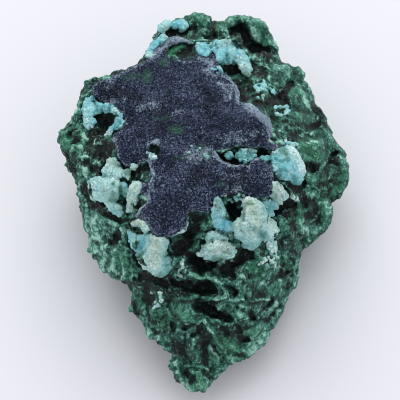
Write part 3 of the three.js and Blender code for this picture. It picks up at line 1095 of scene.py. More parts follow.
# Small pale crumbs: place and radius in grid steps.
CRUMBS = [
    (261, 262, 1.7), (264, 258, 1.9), (266, 264, 1.9), (268, 257, 2), (272, 262, 2.2), (274, 266, 1.7),
    (276, 257, 2), (279, 258, 1.6), (270, 260, 1.7), (273, 258, 1.9), (263, 261, 1.7), (277, 262, 1.6),
    (269, 254, 1.5), (275, 253, 1.6), (281, 260, 1.2), (266, 260, 1.6), (180, 257, 1.6), (176, 262, 1.6),
    (182, 262, 2.3), (183, 266, 2.2), (179, 270, 2), (186, 270, 1.2), (181, 275, 2.3), (178, 274, 1.4),
    (186, 256, 1.1), (181, 268, 1.7), (152, 292, 1.7), (153, 296, 1.6), (159, 292, 2), (162, 292, 1.7),
    (161, 296, 2.2), (161, 300, 2.2), (159, 304, 2.2), (156, 306, 1.9), (154, 308, 1.6), (153, 304, 1.1),
    (98, 213, 1.4), (87, 206, 1.7), (122, 229, 2.4), (125, 230, 2), (126, 224, 1.6), (111, 222, 1.8),
    (292, 197, 2.8), (296, 199, 2.6), (298, 201, 1.8), (275, 111, 1.7), (272, 97, 1.9), (263, 96, 2.4),
    (258, 98, 1.7), (262, 99, 1.9), (276, 99, 1.7), (259, 101, 1.4), (273, 134, 1.9), (279, 131, 1.7),
    (189, 153, 2), (205, 156, 2.2), (208, 158, 2.4), (197, 151, 1.7), (311, 134, 1.9), (243, 196, 2),
    (248, 197, 1.6), (212, 44, 3.4), (213, 49, 3.2), (215, 54, 2.6), (226, 196, 1.8), (230, 199, 2),
    (234, 197, 1.8), (238, 195, 2), (236, 200, 1.8), (232, 202, 1.4), (228, 200, 1.4), (240, 199, 1.6),
    (151, 156, 2.4), (155, 158, 2.4), (148, 153, 1.6), (192, 147, 1.8), (200, 149, 1.6), (164, 151, 1.2),
    (153, 157, 2), (258, 264, 1.4), (262, 266, 1.2), (268, 266, 1.4), (271, 254, 1.2), (282, 257, 1.3),
    (278, 265, 1.3), (184, 259, 1.3), (185, 274, 1.2), (177, 266, 1.2), (163, 299, 1.3), (156, 301, 1.2),
    (150, 298, 1.1),
]

# Rounded balls of malachite: place and radius in grid steps.
MALACHITE_BALLS = [
    (99, 116, 5), (106, 118, 4.5), (112, 124, 4), (101, 128, 5), (109, 131, 4.5), (95, 139, 5),
    (102, 141, 5.5), (109, 139, 4.5), (98, 150, 6), (107, 151, 5), (113, 147, 4.5), (91, 148, 4.5),
    (88, 158, 5.5), (95, 160, 5), (103, 162, 5), (110, 158, 4.5), (91, 169, 5), (100, 171, 4.5),
    (78, 136, 5.5), (72, 145, 6.5), (79, 147, 4.5), (78, 115, 4.5), (84, 125, 4.5), (146, 164, 5),
    (139, 171, 5.5), (147, 173, 5), (135, 177, 4), (143, 179, 3.5), (137, 203, 5), (139, 209, 4.5),
    (134, 211, 3.5), (174, 239, 5.5), (183, 237, 5.5), (178, 248, 6), (186, 245, 5.5), (181, 256, 5),
    (189, 253, 4.5), (194, 220, 5.5), (206, 221, 8), (211, 226, 5), (197, 230, 4.5), (202, 238, 4.5),
    (198, 248, 4.5), (228, 69, 5), (236, 73, 5), (240, 67, 4.5), (233, 80, 4.5), (242, 78, 4.5),
    (246, 87, 5), (251, 94, 5), (246, 100, 4.5), (257, 72, 4.5), (261, 78, 4.5), (259, 66, 4),
    (258, 88, 4.5), (276, 124, 5), (283, 120, 5.5), (280, 94, 4.5), (284, 101, 4.5), (281, 88, 4),
    (203, 36, 9), (195, 40, 5.5), (213, 31, 6.5), (217, 41, 5.5), (177, 351, 5), (205, 370, 5),
    (181, 362, 6), (184, 372, 5), (216, 371, 5),
]

# Which way the malachite's fibres run: place, and angle from across in degrees.
FIBRES = [
    (94, 233, 100), (122, 267, 95), (139, 306, 100), (183, 306, 130), (211, 272, 20), (278, 283, 48),
    (200, 361, 95), (244, 333, 30), (311, 100, 125), (333, 178, 60), (306, 228, 90), (256, 39, 110),
    (89, 156, 60),
]

# Crevices and pits in the malachite: half width in grid steps, depth in millimetres, places. Painted shade
# also darkens them.
CUTS = [
    (3, 1.8, 172, 281, 182, 283), (4.5, 2.2, 186, 285, 194, 287), (6, 2.3, 200, 286, 207, 286),
    (3, 2, 210, 289, 215, 291), (3.5, 1.2, 141, 276, 152, 278, 166, 282), (5, 2.4, 192, 257, 196, 262),
    (6.5, 2.5, 200, 263, 201, 264), (4.5, 2.2, 207, 266, 212, 264), (5, 2, 224, 269, 225, 271),
    (4, 2, 229, 265, 236, 262), (5.5, 2, 241, 258, 246, 255), (4, 1.6, 231, 273, 233, 273),
    (2.5, 1.4, 250, 313, 253, 318), (2.8, 1.5, 231, 287, 235, 293),
    (1.6, 1.2, 263, 308, 269, 304, 272, 300), (1.2, 0.9, 264, 320, 272, 313, 280, 305),
    (1.8, 1.1, 184, 328, 193, 323), (3.4, 0.5, 199, 329, 205, 331, 206, 342, 205, 353, 206, 362),
    (1.5, 1.1, 193, 334, 199, 331), (2, 1.2, 239, 338, 245, 341, 248, 339),
    (1.6, 0.9, 236, 353, 242, 353), (2.4, 0.9, 238, 326, 240, 331), (2, 0.8, 222, 327, 226, 333),
    (2.4, 0.9, 172, 325, 174, 330), (3, 0.8, 150, 298, 147, 286),
    (0.9, 0.8, 167, 303, 175, 315, 184, 324), (2.4, 0.8, 186, 372, 193, 376, 191, 381),
    (2.4, 0.7, 204, 371, 209, 377), (1, 0.8, 176, 330, 175, 345, 177, 354),
    (1, 0.8, 186, 333, 185, 347, 187, 357), (1.1, 0.8, 211, 344, 218, 352, 221, 362),
    (1.2, 0.8, 143, 290, 146, 303, 150, 320), (2, 0.8, 133, 303, 138, 314),
    (1.5, 1.2, 273, 281, 279, 274, 281, 270), (1.4, 1.1, 281, 277, 287, 271),
    (1.3, 0.9, 292, 266, 294, 263), (4.6, 1.9, 277, 210, 284, 206, 292, 203),
    (2.1, 0.9, 291, 223, 294, 230), (3.4, 0.9, 306, 215, 312, 217, 315, 208, 312, 202),
    (1.4, 0.8, 319, 216, 318, 222), (1.3, 0.9, 316, 236, 321, 235),
    (1.6, 0.9, 299, 234, 301, 241, 304, 247), (3, 0.6, 301, 190, 305, 198, 303, 206),
    (4.2, 1.6, 292, 185, 298, 188, 301, 183), (3.6, 1.4, 308, 166, 313, 170, 317, 166),
    (2.8, 1.2, 311, 127, 317, 126, 320, 122), (1.8, 1.3, 331, 155, 335, 154),
    (1.3, 1, 327, 164, 334, 163, 338, 164), (1.5, 0.8, 320, 186, 327, 184, 333, 181),
    (1.2, 0.8, 333, 176, 337, 176), (2.8, 1.2, 282, 94, 287, 90, 292, 84), (3.4, 1.1, 279, 98, 284, 101),
    (3, 0.7, 255, 103, 264, 106, 271, 104), (2.6, 1.3, 238, 88, 241, 96, 243, 103),
    (4.6, 1.4, 225, 68, 232, 70, 238, 68), (4.4, 1, 252, 68, 257, 73, 264, 74),
    (4.6, 1.9, 234, 31, 240, 27, 246, 32, 247, 40), (5, 1.4, 254, 46, 262, 50, 269, 52),
    (2.6, 1.2, 213, 27, 214, 34, 209, 37), (3, 0.9, 166, 30, 175, 32, 184, 33),
    (2, 0.6, 196, 28, 194, 36), (5.2, 1.5, 100, 118, 109, 118, 104, 126), (3.4, 0.8, 93, 135, 101, 133),
    (4, 0.8, 95, 147, 104, 150, 113, 148), (3.8, 0.9, 94, 168, 103, 171),
    (3, 1, 84, 185, 87, 195, 92, 201), (3.3, 1.5, 95, 206, 104, 204),
    (2.8, 1, 106, 214, 114, 217, 121, 221), (3, 1.1, 113, 244, 117, 239, 117, 234),
    (1.4, 0.9, 127, 212, 130, 219, 131, 229), (2.6, 1, 134, 208, 140, 207, 144, 203),
    (2.2, 1.3, 135, 229, 142, 233, 149, 231), (4, 1.2, 134, 168, 141, 171, 147, 168),
    (1.5, 1.1, 127, 186, 127, 196, 125, 204), (2, 0.6, 121, 281, 131, 285),
    (1.4, 0.8, 108, 262, 110, 265), (1.4, 0.8, 94, 241, 97, 243),
    (1.2, 0.8, 133, 250, 137, 259, 139, 266), (5.6, 1.7, 219, 160, 232, 158, 248, 155, 262, 156),
    (3.8, 1, 153, 149, 157, 151), (5.5, 1.3, 182, 54, 190, 50), (5.6, 2.2, 231, 207, 234, 213),
    (5, 1, 184, 228, 188, 240, 178, 250), (5, 1.4, 195, 219, 193, 232), (3.4, 0.9, 140, 263, 146, 271),
    (1.2, 0.6, 313, 103, 318, 110, 324, 117), (2.6, 0.7, 289, 136, 296, 139),
    (5, 2.8, 198, 304, 207, 307, 214, 311, 221, 315), (3, 2.4, 224, 316, 229, 318),
    (2.2, 1.8, 196, 300, 214, 303),
]

# Swellings and ribs of the malachite: half width in grid steps, height in millimetres, places.
RIDGES = [
    (13, 1, 297, 98, 303, 106), (11, 0.8, 298, 118, 306, 121), (12, 1.1, 313, 150, 315, 158),
    (4.6, 0.6, 339, 151, 343, 163, 346, 173, 343, 185, 335, 193),
    (1.8, 0.6, 328, 150, 326, 160, 320, 168, 312, 175, 311, 186, 314, 195),
    (2, 0.6, 288, 129, 300, 132, 314, 133), (1.8, 0.5, 318, 120, 325, 132, 333, 142),
    (2, 0.6, 303, 96, 310, 105, 318, 116), (8, 0.7, 275, 72, 286, 72), (2.2, 0.6, 267, 84, 276, 88),
    (4, 0.6, 222, 24, 232, 21, 242, 18, 254, 22, 264, 27, 268, 34, 270, 46, 270, 56),
    (3, 0.7, 250, 58, 262, 57, 272, 60), (5, 0.3, 255, 30, 257, 38), (7, 0.8, 198, 18, 205, 19),
    (4, 0.5, 192, 24, 192, 34), (3, 0.5, 218, 30, 219, 36), (4, 0.5, 274, 42, 275, 50),
    (1.6, 0.6, 297, 205, 297, 216, 298, 228, 300, 238), (5, 0.5, 324, 203, 328, 212, 324, 226, 316, 232),
    (2, 0.5, 305, 228, 306, 238, 309, 242), (7, 0.5, 284, 225, 288, 232),
    (4, 0.9, 190, 274, 205, 275, 216, 279, 223, 288, 226, 297),
    (2.5, 0.7, 182, 297, 200, 296, 213, 298, 228, 299, 242, 299),
    (2.2, 0.6, 250, 300, 260, 299, 268, 299), (3, 0.5, 243, 276, 250, 284), (9, 0.6, 175, 310, 188, 314),
    (1.8, 0.7, 205, 320, 212, 332, 217, 342, 224, 352), (3, 0.7, 179, 330, 179, 345, 182, 358),
    (2.5, 0.6, 193, 338, 192, 350, 195, 362), (1.8, 0.6, 186, 365, 195, 365, 204, 368),
    (5, 0.6, 200, 374, 202, 386), (4, 0.5, 215, 350, 217, 365),
    (2.2, 0.6, 252, 354, 259, 344, 264, 332, 271, 319, 281, 305),
    (2, 0.5, 246, 345, 256, 330, 266, 314, 276, 302), (6, 0.6, 226, 343, 236, 350),
    (4, 0.5, 240, 316, 246, 318), (2.4, 0.5, 150, 328, 160, 340, 168, 348), (2, 0.5, 154, 303, 156, 315),
    (2, 0.5, 284, 268, 276, 284, 272, 296), (2, 0.5, 290, 262, 286, 280), (3, 0.6, 228, 282, 238, 283),
    (3, 0.5, 95, 220, 95, 232, 99, 242), (2.5, 0.5, 102, 236, 106, 250, 106, 262),
    (2.5, 0.5, 115, 250, 115, 262, 116, 272), (1.8, 0.5, 124, 234, 127, 248, 126, 262, 128, 276),
    (1.5, 0.4, 131, 252, 134, 268, 137, 288), (4, 0.6, 93, 250, 97, 252),
    (2.4, 0.5, 85, 205, 87, 216, 91, 230), (3, 0.5, 83, 158, 84, 175, 82, 188),
    (6, 0.6, 72, 145, 75, 152), (5, 0.5, 64, 135, 66, 146), (3, 0.6, 70, 163, 73, 169),
    (3, 0.5, 76, 112, 80, 105), (4, 0.8, 297, 68, 303, 77), (4, 0.5, 305, 84, 312, 97),
    (4, 0.5, 321, 108, 325, 118), (5, 0.7, 218, 366, 228, 360, 240, 355, 252, 351),
    (3.5, 1.1, 173, 357, 177, 368, 182, 377), (3, 1, 130, 308, 131, 315),
    (3, 0.6, 85, 84, 88, 79, 96, 76), (3, 0.6, 124, 66, 136, 60, 142, 56), (4, 0.9, 213, 376, 219, 370),
    (3, 0.6, 326, 238, 331, 232),
]

# Where the malachite is smooth rather than chipped: half width, strength, places.
SMOOTH = [
    (26, 0.9, 306, 98, 318, 160), (14, 0.9, 340, 150, 344, 185), (18, 0.8, 282, 68, 295, 75),
    (20, 0.8, 245, 22, 268, 45), (10, 0.6, 200, 20, 200, 30), (14, 0.6, 178, 308, 192, 316),
    (16, 0.5, 300, 225, 318, 215), (12, 0.4, 285, 275, 275, 295), (14, 0.4, 105, 250, 120, 262),
    (10, 0.5, 70, 145, 76, 155), (12, 0.4, 90, 225, 95, 235),
    (10, 0.5, 262, 330, 276, 308), (24, 0.6, 185, 335, 198, 375), (14, 0.6, 225, 340, 245, 345),
    (9, 0.5, 240, 282, 258, 290), (10, 0.4, 240, 320, 258, 312), (10, 0.5, 100, 225, 104, 245),
]

# Darker places in the malachite: partly its own darker colour, partly painted shade.
DARKS = [
    (9, 0.5, 145, 278, 165, 283), (8, 0.6, 180, 286, 205, 287), (8, 0.7, 176, 245, 188, 255),
    (7, 0.6, 186, 228, 184, 240), (8, 0.5, 195, 262, 208, 266), (8, 0.6, 228, 268, 240, 260),
    (7, 0.4, 252, 284, 262, 292), (7, 0.3, 203, 340, 206, 358), (6, 0.5, 282, 206, 290, 204),
    (7, 0.4, 310, 206, 314, 220), (5, 0.5, 292, 186, 303, 198), (6, 0.5, 98, 147, 112, 150),
    (6, 0.5, 94, 168, 102, 170), (7, 0.6, 102, 120, 110, 120), (5, 0.4, 72, 128, 74, 138),
    (5, 0.5, 86, 190, 90, 200), (6, 0.5, 97, 206, 116, 218), (6, 0.5, 112, 240, 117, 236),
    (8, 0.5, 120, 74, 140, 66, 165, 62), (7, 0.6, 226, 68, 236, 70), (6, 0.5, 252, 70, 262, 74),
    (7, 0.6, 238, 30, 246, 40), (6, 0.6, 255, 47, 268, 50), (5, 0.5, 167, 31, 185, 33),
    (5, 0.5, 241, 92, 243, 104), (7, 0.5, 258, 100, 272, 103), (6, 0.6, 280, 95, 286, 100),
    (5, 0.5, 290, 135, 297, 138), (3, 0.7, 314, 108, 322, 116), (5, 0.3, 328, 172, 322, 182),
    (3.5, 0.7, 70, 163, 73, 170), (3, 0.5, 66, 153, 67, 158), (6, 0.5, 136, 170, 146, 170),
    (5, 0.4, 150, 300, 148, 285), (6, 0.3, 160, 320, 166, 330), (4, 0.5, 123, 282, 132, 285),
    (4, 0.5, 330, 160, 336, 160), (5, 0.3, 200, 30, 196, 36), (4, 0.4, 334, 198, 342, 194),
    (6, 0.8, 218, 159, 262, 156), (4, 0.3, 186, 375, 193, 381), (5, 0.3, 244, 325, 236, 330),
    (5, 0.9, 188, 50, 193, 54), (5, 0.6, 200, 330, 206, 345, 204, 360), (6, 0.7, 92, 132, 106, 146),
    (7, 0.7, 92, 152, 112, 166), (5, 0.6, 84, 160, 88, 166), (4, 1, 189, 50, 194, 54),
    (3, 1, 183, 57, 190, 58), (6, 0.9, 99, 126, 109, 131), (6, 0.5, 176, 340, 180, 352),
    (5, 0.5, 232, 330, 244, 336), (10, 0.1, 300, 120, 330, 150), (10, 0.1, 250, 270, 280, 300),
    (6, 0.4, 92, 128, 96, 136), (5, 0.5, 104, 150, 112, 146),
]

# Pale streaks and dustings on the malachite, and painted highlights on the lit sides of ridges and domes.
LIGHTS = [
    (2.2, 0.9, 303, 98, 308, 104, 313, 111), (1.6, 0.6, 290, 95, 291, 102), (1.2, 0.5, 300, 88, 305, 93),
    (1.5, 0.6, 313, 111, 317, 117, 321, 122), (1.8, 1, 301, 134, 307, 133, 314, 133),
    (1.2, 0.6, 288, 131, 296, 131), (2.2, 0.9, 308, 143, 313, 141, 318, 142),
    (1.5, 0.7, 321, 146, 324, 148), (1.3, 0.5, 329, 152, 327, 158, 322, 166, 314, 173),
    (1.2, 0.5, 311, 178, 313, 188, 315, 196), (2, 0.7, 334, 143, 338, 146),
    (1.5, 0.5, 325, 125, 329, 136), (1.4, 0.4, 322, 185, 326, 190), (2.5, 0.6, 268, 72, 274, 82, 277, 86),
    (3, 0.4, 272, 62, 282, 68, 290, 74), (2, 0.5, 283, 82, 289, 80), (2, 0.3, 341, 165, 345, 176),
    (3, 0.5, 252, 30, 254, 36), (2.5, 0.3, 262, 28, 264, 40), (2.5, 0.4, 224, 24, 232, 20),
    (2, 0.5, 226, 35, 229, 30), (2.2, 0.6, 252, 57, 262, 56), (2, 0.5, 265, 64, 262, 60),
    (2, 0.4, 273, 45, 275, 50), (1.8, 0.5, 250, 62, 245, 72), (2.4, 0.4, 205, 23, 208, 25),
    (2, 0.3, 195, 17, 205, 16), (1.2, 0.5, 297, 205, 297, 216, 298, 228, 300, 238),
    (1.4, 0.4, 283, 218, 280, 224), (2, 0.5, 308, 228, 312, 226),
    (1.2, 0.6, 312, 215, 316, 217, 315, 222), (1.2, 0.5, 322, 222, 323, 224),
    (1.6, 0.3, 326, 198, 328, 205), (1.4, 0.5, 306, 235, 308, 240), (1.5, 0.4, 318, 228, 322, 232),
    (2, 0.3, 285, 262, 290, 255, 295, 262), (1.4, 0.4, 283, 243, 288, 247),
    (1.5, 0.4, 330, 212, 333, 214), (4, 0.5, 195, 274, 208, 277, 215, 279),
    (3.5, 0.6, 219, 284, 224, 292), (2.2, 0.5, 240, 276, 248, 272), (2.5, 0.5, 247, 282, 250, 290),
    (1.5, 0.8, 242, 298, 246, 300), (1.6, 0.8, 260, 299, 267, 300), (1.6, 0.7, 231, 285, 236, 284),
    (1.2, 0.7, 202, 300, 212, 298), (1.6, 0.5, 226, 298, 236, 299),
    (2.4, 0.6, 236, 316, 245, 315, 246, 320), (1.2, 0.6, 205, 322, 212, 333, 217, 342, 223, 351),
    (1.3, 0.5, 188, 356, 189, 364, 191, 366), (1.2, 0.6, 191, 365, 200, 365, 203, 368),
    (1.5, 0.5, 178, 355, 180, 362), (1.2, 0.5, 193, 336, 192, 346), (2.6, 0.3, 197, 375, 200, 386),
    (1.3, 0.6, 178, 372, 184, 381, 190, 389), (1.3, 0.5, 175, 360, 177, 368),
    (1.6, 0.6, 163, 343, 166, 348), (1.3, 0.5, 151, 330, 156, 335), (1.5, 0.5, 250, 355, 257, 346),
    (1.6, 0.6, 258, 345, 264, 333), (1.4, 0.5, 262, 330, 270, 320), (1.3, 0.5, 272, 317, 281, 305),
    (2, 0.5, 247, 333, 252, 330), (1.8, 0.5, 241, 345, 245, 351), (1.2, 0.4, 266, 312, 276, 302),
    (1.6, 0.3, 258, 332, 262, 322), (1.3, 0.4, 281, 279, 277, 288), (1.5, 0.5, 228, 343, 236, 350),
    (2, 0.7, 86, 206, 88, 213), (2.2, 0.6, 93, 215, 94, 222), (2.2, 0.8, 93, 225, 97, 232),
    (2, 0.6, 92, 236, 97, 240), (1.8, 0.8, 101, 237, 104, 246), (1.8, 0.6, 106, 245, 108, 258),
    (2.6, 0.9, 93, 252, 96, 250), (3, 0.8, 113, 268, 118, 273),
    (1.6, 0.6, 111, 263, 117, 262), (1.4, 0.6, 120, 262, 122, 270),
    (1.4, 0.6, 126, 245, 128, 254), (1.5, 0.5, 131, 270, 133, 275), (1.3, 0.8, 122, 229, 125, 229),
    (1.2, 0.5, 137, 285, 137, 292), (2.2, 0.6, 82, 180, 84, 186),
    (1.6, 0.7, 83, 158, 80, 165), (2.2, 0.5, 79, 152, 84, 158), (2.5, 0.6, 98, 161, 100, 164),
    (2.2, 0.8, 97, 143, 101, 141), (3, 0.6, 84, 136, 87, 132), (2.8, 0.7, 80, 147, 83, 143),
    (2.4, 0.5, 66, 143, 71, 150), (2.4, 0.3, 64, 133, 63, 138), (3, 0.3, 74, 112, 78, 108),
    (2, 0.3, 68, 122, 72, 120), (1.6, 0.4, 80, 187, 80, 195), (2, 0.5, 294, 195, 298, 200),
    (3, 0.5, 252, 281, 262, 286), (3.4, 1, 84, 135, 87, 139), (3.2, 1, 79, 146, 83, 150),
    (3, 0.9, 95, 142, 100, 143), (2.4, 0.8, 96, 159, 99, 164), (2.6, 0.9, 84, 168, 86, 176),
    (2.4, 0.9, 87, 153, 89, 158), (2, 0.7, 81, 182, 80, 186), (3, 0.6, 66, 140, 68, 146),
    (2.2, 0.6, 110, 222, 116, 224), (1.4, 0.8, 121, 229, 126, 231), (3.4, 0.8, 128, 232, 132, 238),
    (12, 0.6, 95, 222, 100, 250, 108, 262), (9, 0.6, 112, 250, 122, 278), (8, 0.4, 255, 25, 262, 40),
    (5, 0.4, 225, 26, 228, 24), (7, 0.5, 196, 372, 206, 382), (6, 0.5, 210, 345, 214, 360),
    (8, 0.4, 245, 60, 265, 66), (4, 0.5, 245, 350, 258, 338), (3, 0.6, 225, 300, 240, 306),
    (4, 0.5, 262, 284, 270, 292), (7, 0.5, 300, 225, 312, 232), (6, 0.5, 318, 200, 325, 210),
    (6, 0.4, 272, 40, 272, 56), (5, 0.5, 222, 26, 232, 24),
]

# Brighter green places in the malachite.
GREENS = [
    (6, 0.6, 218, 340, 232, 346), (5, 0.5, 228, 352, 240, 357), (5, 0.5, 196, 273, 205, 273),
    (5, 0.8, 250, 268, 260, 262), (4, 0.4, 256, 277, 262, 270), (6, 0.5, 172, 310, 192, 318),
    (3, 0.4, 186, 378, 190, 384), (6, 0.7, 312, 155, 318, 158), (6, 0.5, 335, 186, 342, 176),
    (5, 0.9, 172, 50, 184, 46), (3, 0.6, 218, 26, 219, 36), (4, 0.8, 208, 218, 207, 222),
    (5, 0.4, 240, 80, 250, 92), (4, 0.5, 279, 118, 276, 126), (4, 0.4, 283, 226, 280, 236),
    (4, 0.3, 322, 205, 325, 225), (3, 0.4, 108, 199, 114, 201), (4, 0.4, 226, 20, 215, 25),
    (3, 0.4, 70, 148, 75, 152), (3, 0.5, 248, 90, 250, 95), (4, 0.3, 276, 286, 283, 290),
    (4, 0.3, 160, 345, 166, 340), (5, 0.3, 310, 190, 318, 196), (4, 0.9, 170, 53, 180, 47),
    (8, 0.2, 194, 350, 200, 380), (6, 0.4, 258, 26, 266, 40), (5, 1, 170, 52, 179, 52),
]

# Pale hazy places on the azurite: partly pale dusting and rims, partly painted sheen where the velvet faces
# the light.
HAZE = [
    (4.6, 1, 246, 108, 256, 113, 265, 122, 270, 133), (2.6, 1, 230, 78, 237, 87, 237, 97),
    (4, 0.5, 222, 84, 228, 92, 226, 100), (5, 0.6, 139, 109, 153, 106, 158, 108),
    (4, 0.5, 172, 116, 180, 112), (8, 0.8, 190, 157, 204, 154), (5, 0.6, 208, 160, 216, 156),
    (2.5, 0.9, 150, 54, 160, 50), (3, 0.6, 166, 40, 180, 38, 190, 44), (4, 0.5, 200, 60, 212, 62),
    (3.5, 0.8, 205, 70, 215, 76), (4, 0.9, 150, 146, 158, 142), (6, 0.5, 224, 140, 240, 136),
    (5, 0.4, 250, 135, 262, 132), (6, 0.3, 258, 176, 266, 172), (5, 0.3, 240, 158, 258, 152),
    (4, 0.5, 150, 175, 154, 190), (4, 0.5, 140, 212, 148, 220), (4, 0.4, 225, 188, 240, 188),
    (3, 0.4, 144, 162, 155, 160), (2.5, 0.4, 128, 187, 140, 184), (3, 0.5, 112, 102, 125, 100),
    (20, 0.1, 170, 190, 190, 195), (10, 0.2, 225, 178, 238, 184), (5, 0.4, 110, 85, 106, 88),
    (6, 0.2, 185, 130, 200, 132), (1.6, 0.7, 176, 60, 186, 63, 196, 62),
    (1.3, 1, 149, 199, 143, 207, 137, 215, 133, 221),
    (1.3, 1, 213, 157, 222, 163, 232, 167, 240, 164, 247, 166, 251, 161, 258, 159),
    (1.6, 0.8, 170, 238, 180, 234, 186, 230), (1.5, 0.5, 150, 166, 155, 174),
    (1.3, 0.5, 149, 199, 152, 178), (2, 0.8, 112, 142, 118, 138), (3, 0.7, 230, 141, 246, 140),
    (2.2, 0.8, 218, 84, 232, 86, 230, 98), (1.3, 0.9, 222, 76, 230, 81, 238, 88, 236, 98, 238, 104),
    (3.5, 0.8, 152, 57, 160, 53, 164, 46, 172, 41, 184, 41), (3, 0.7, 205, 70, 212, 66),
]

# Greenish stains on the azurite.
STAINS = [
    (5, 1, 174, 131, 178, 131), (5, 0.7, 148, 74, 147, 80), (4, 0.8, 163, 62, 166, 64),
    (3.5, 0.9, 199, 149, 202, 148), (3, 0.8, 206, 157, 208, 155), (3, 0.4, 176, 158, 186, 157),
    (4, 0.5, 125, 78, 140, 76), (2.5, 0.5, 218, 185, 224, 184), (3, 0.5, 248, 148, 262, 150),
    (3, 0.3, 155, 119, 167, 118), (8, 0.9, 172, 52, 190, 52), (4, 0.9, 155, 150, 157, 149),
]

# Green stains on the chrysocolla.
GROWTH_STAINS = [
    (4.4, 0.7, 281, 149, 284, 153), (2.6, 1, 114, 184), (3, 0.7, 112, 200, 122, 200),
    (3, 0.5, 117, 165, 124, 164), (4, 0.7, 128, 172, 130, 173), (2.6, 0.5, 125, 188, 125, 200),
    (2, 1, 136, 243, 139, 242), (4, 0.4, 257, 232, 263, 235), (1.8, 0.7, 243, 214, 243, 220),
    (3.5, 0.6, 246, 203, 250, 203), (3, 0.5, 224, 251, 229, 251), (4, 0.7, 214, 259, 224, 259),
    (3, 0.5, 218, 201, 222, 201), (3, 0.4, 275, 178, 276, 184), (3, 0.5, 273, 195, 274, 199),
    (5, 0.3, 226, 42, 234, 43), (2.2, 0.6, 227, 54, 227, 60), (4, 0.6, 245, 70, 247, 74),
    (5, 0.2, 172, 272, 180, 272), (3, 0.3, 160, 274, 168, 275),
    (2.6, 0.7, 122, 186, 122, 202), (3, 0.5, 114, 194, 118, 202), (2.6, 0.6, 285, 155, 287, 160),
]

# Painted shade: darker places in the azurite.
DEEPS = [
    (9, 0.9, 104, 92, 135, 96), (8, 0.8, 124, 112, 136, 122), (7, 0.7, 118, 140, 122, 152),
    (8, 0.7, 160, 120, 168, 126), (7, 0.7, 208, 92, 212, 120), (8, 0.6, 226, 120, 258, 128),
    (9, 0.8, 196, 176, 242, 180), (8, 0.5, 160, 160, 172, 166), (7, 0.5, 246, 190, 264, 190),
    (6, 0.5, 166, 226, 166, 232), (6, 0.7, 142, 70, 172, 66), (7, 0.5, 186, 130, 200, 140),
    (6, 0.4, 130, 150, 134, 160), (8, 0.4, 176, 200, 186, 206), (5, 0.5, 262, 134, 258, 140),
]

# Bluest places on the chrysocolla.
BLUES = [
    (4, 0.9, 101, 106, 110, 107), (4, 0.8, 118, 124, 114, 130), (5, 0.8, 143, 240, 138, 246),
    (5, 0.5, 222, 226, 229, 222), (4, 0.6, 217, 212, 216, 218), (5, 0.6, 284, 164, 283, 174),
    (4, 0.5, 274, 160, 278, 156), (4, 0.5, 268, 205, 266, 208), (3, 0.5, 125, 184, 126, 190),
    (4, 0.8, 105, 172, 110, 174), (4, 0.5, 108, 186, 112, 195), (6, 1, 207, 47, 203, 56),
    (4, 0.9, 222, 60, 226, 48), (3, 0.9, 213, 72, 212, 74), (4, 0.7, 180, 24, 172, 24),
    (4, 0.9, 153, 46, 158, 42), (3, 0.8, 258, 84, 256, 88), (2.5, 0.7, 283, 143, 290, 141),
    (4, 1, 213, 45, 215, 55), (4, 0.6, 151, 146, 158, 147), (3, 0.5, 111, 212, 121, 212),
]

# Painted shade: darker, greener places on the chrysocolla's shaded sides and recesses.
TEALS = [
    (5, 0.7, 167, 254, 168, 270, 160, 277), (4, 0.5, 203, 243, 203, 248), (5, 0.6, 243, 246, 257, 245),
    (4, 0.7, 262, 234, 266, 238), (4, 1, 294, 179, 296, 184), (3, 0.8, 237, 158, 243, 162),
    (3.5, 0.9, 224, 156, 232, 158), (4, 0.8, 261, 160, 268, 160), (3, 0.7, 105, 176, 111, 176),
    (3, 0.7, 267, 208, 272, 208), (4, 0.4, 115, 212, 120, 213), (3, 0.6, 104, 108, 108, 110),
    (3, 0.6, 230, 57, 229, 52), (3, 0.7, 117, 129, 123, 128), (3, 0.5, 214, 238, 206, 237),
    (3, 0.6, 271, 247, 269, 245), (5, 0.5, 124, 194, 123, 203), (3, 0.5, 243, 233, 244, 242),
    (3, 0.5, 233, 236, 240, 240), (3, 0.4, 247, 226, 254, 228), (3, 0.5, 213, 201, 216, 198),
    (6, 0.5, 215, 262, 222, 264), (3, 0.5, 145, 250, 140, 255), (3, 0.5, 231, 224, 232, 229),
    (2.5, 0.6, 280, 162, 288, 160), (3, 0.5, 96, 128, 86, 132), (3, 0.5, 222, 72, 212, 76),
    (2.5, 0.6, 100, 111, 112, 107), (2.5, 0.5, 118, 112, 124, 118), (4, 0.7, 225, 196, 238, 198),
    (3, 0.6, 192, 148, 208, 158), (6, 0.7, 222, 157, 238, 153, 254, 158), (5, 0.9, 262, 158, 268, 157),
    (5, 1, 152, 149, 158, 152), (2, 0.6, 262, 208, 268, 212), (2.4, 0.6, 98, 106, 103, 112),
    (6, 0.3, 275, 158, 283, 176), (5, 0.3, 98, 186, 112, 198), (3, 0.5, 290, 182, 297, 184),
    (2.2, 0.6, 95, 102, 98, 112), (1.8, 0.6, 111, 104, 110, 113), (2, 0.5, 118, 116, 125, 119),
    (2, 0.5, 248, 149, 247, 162),
]
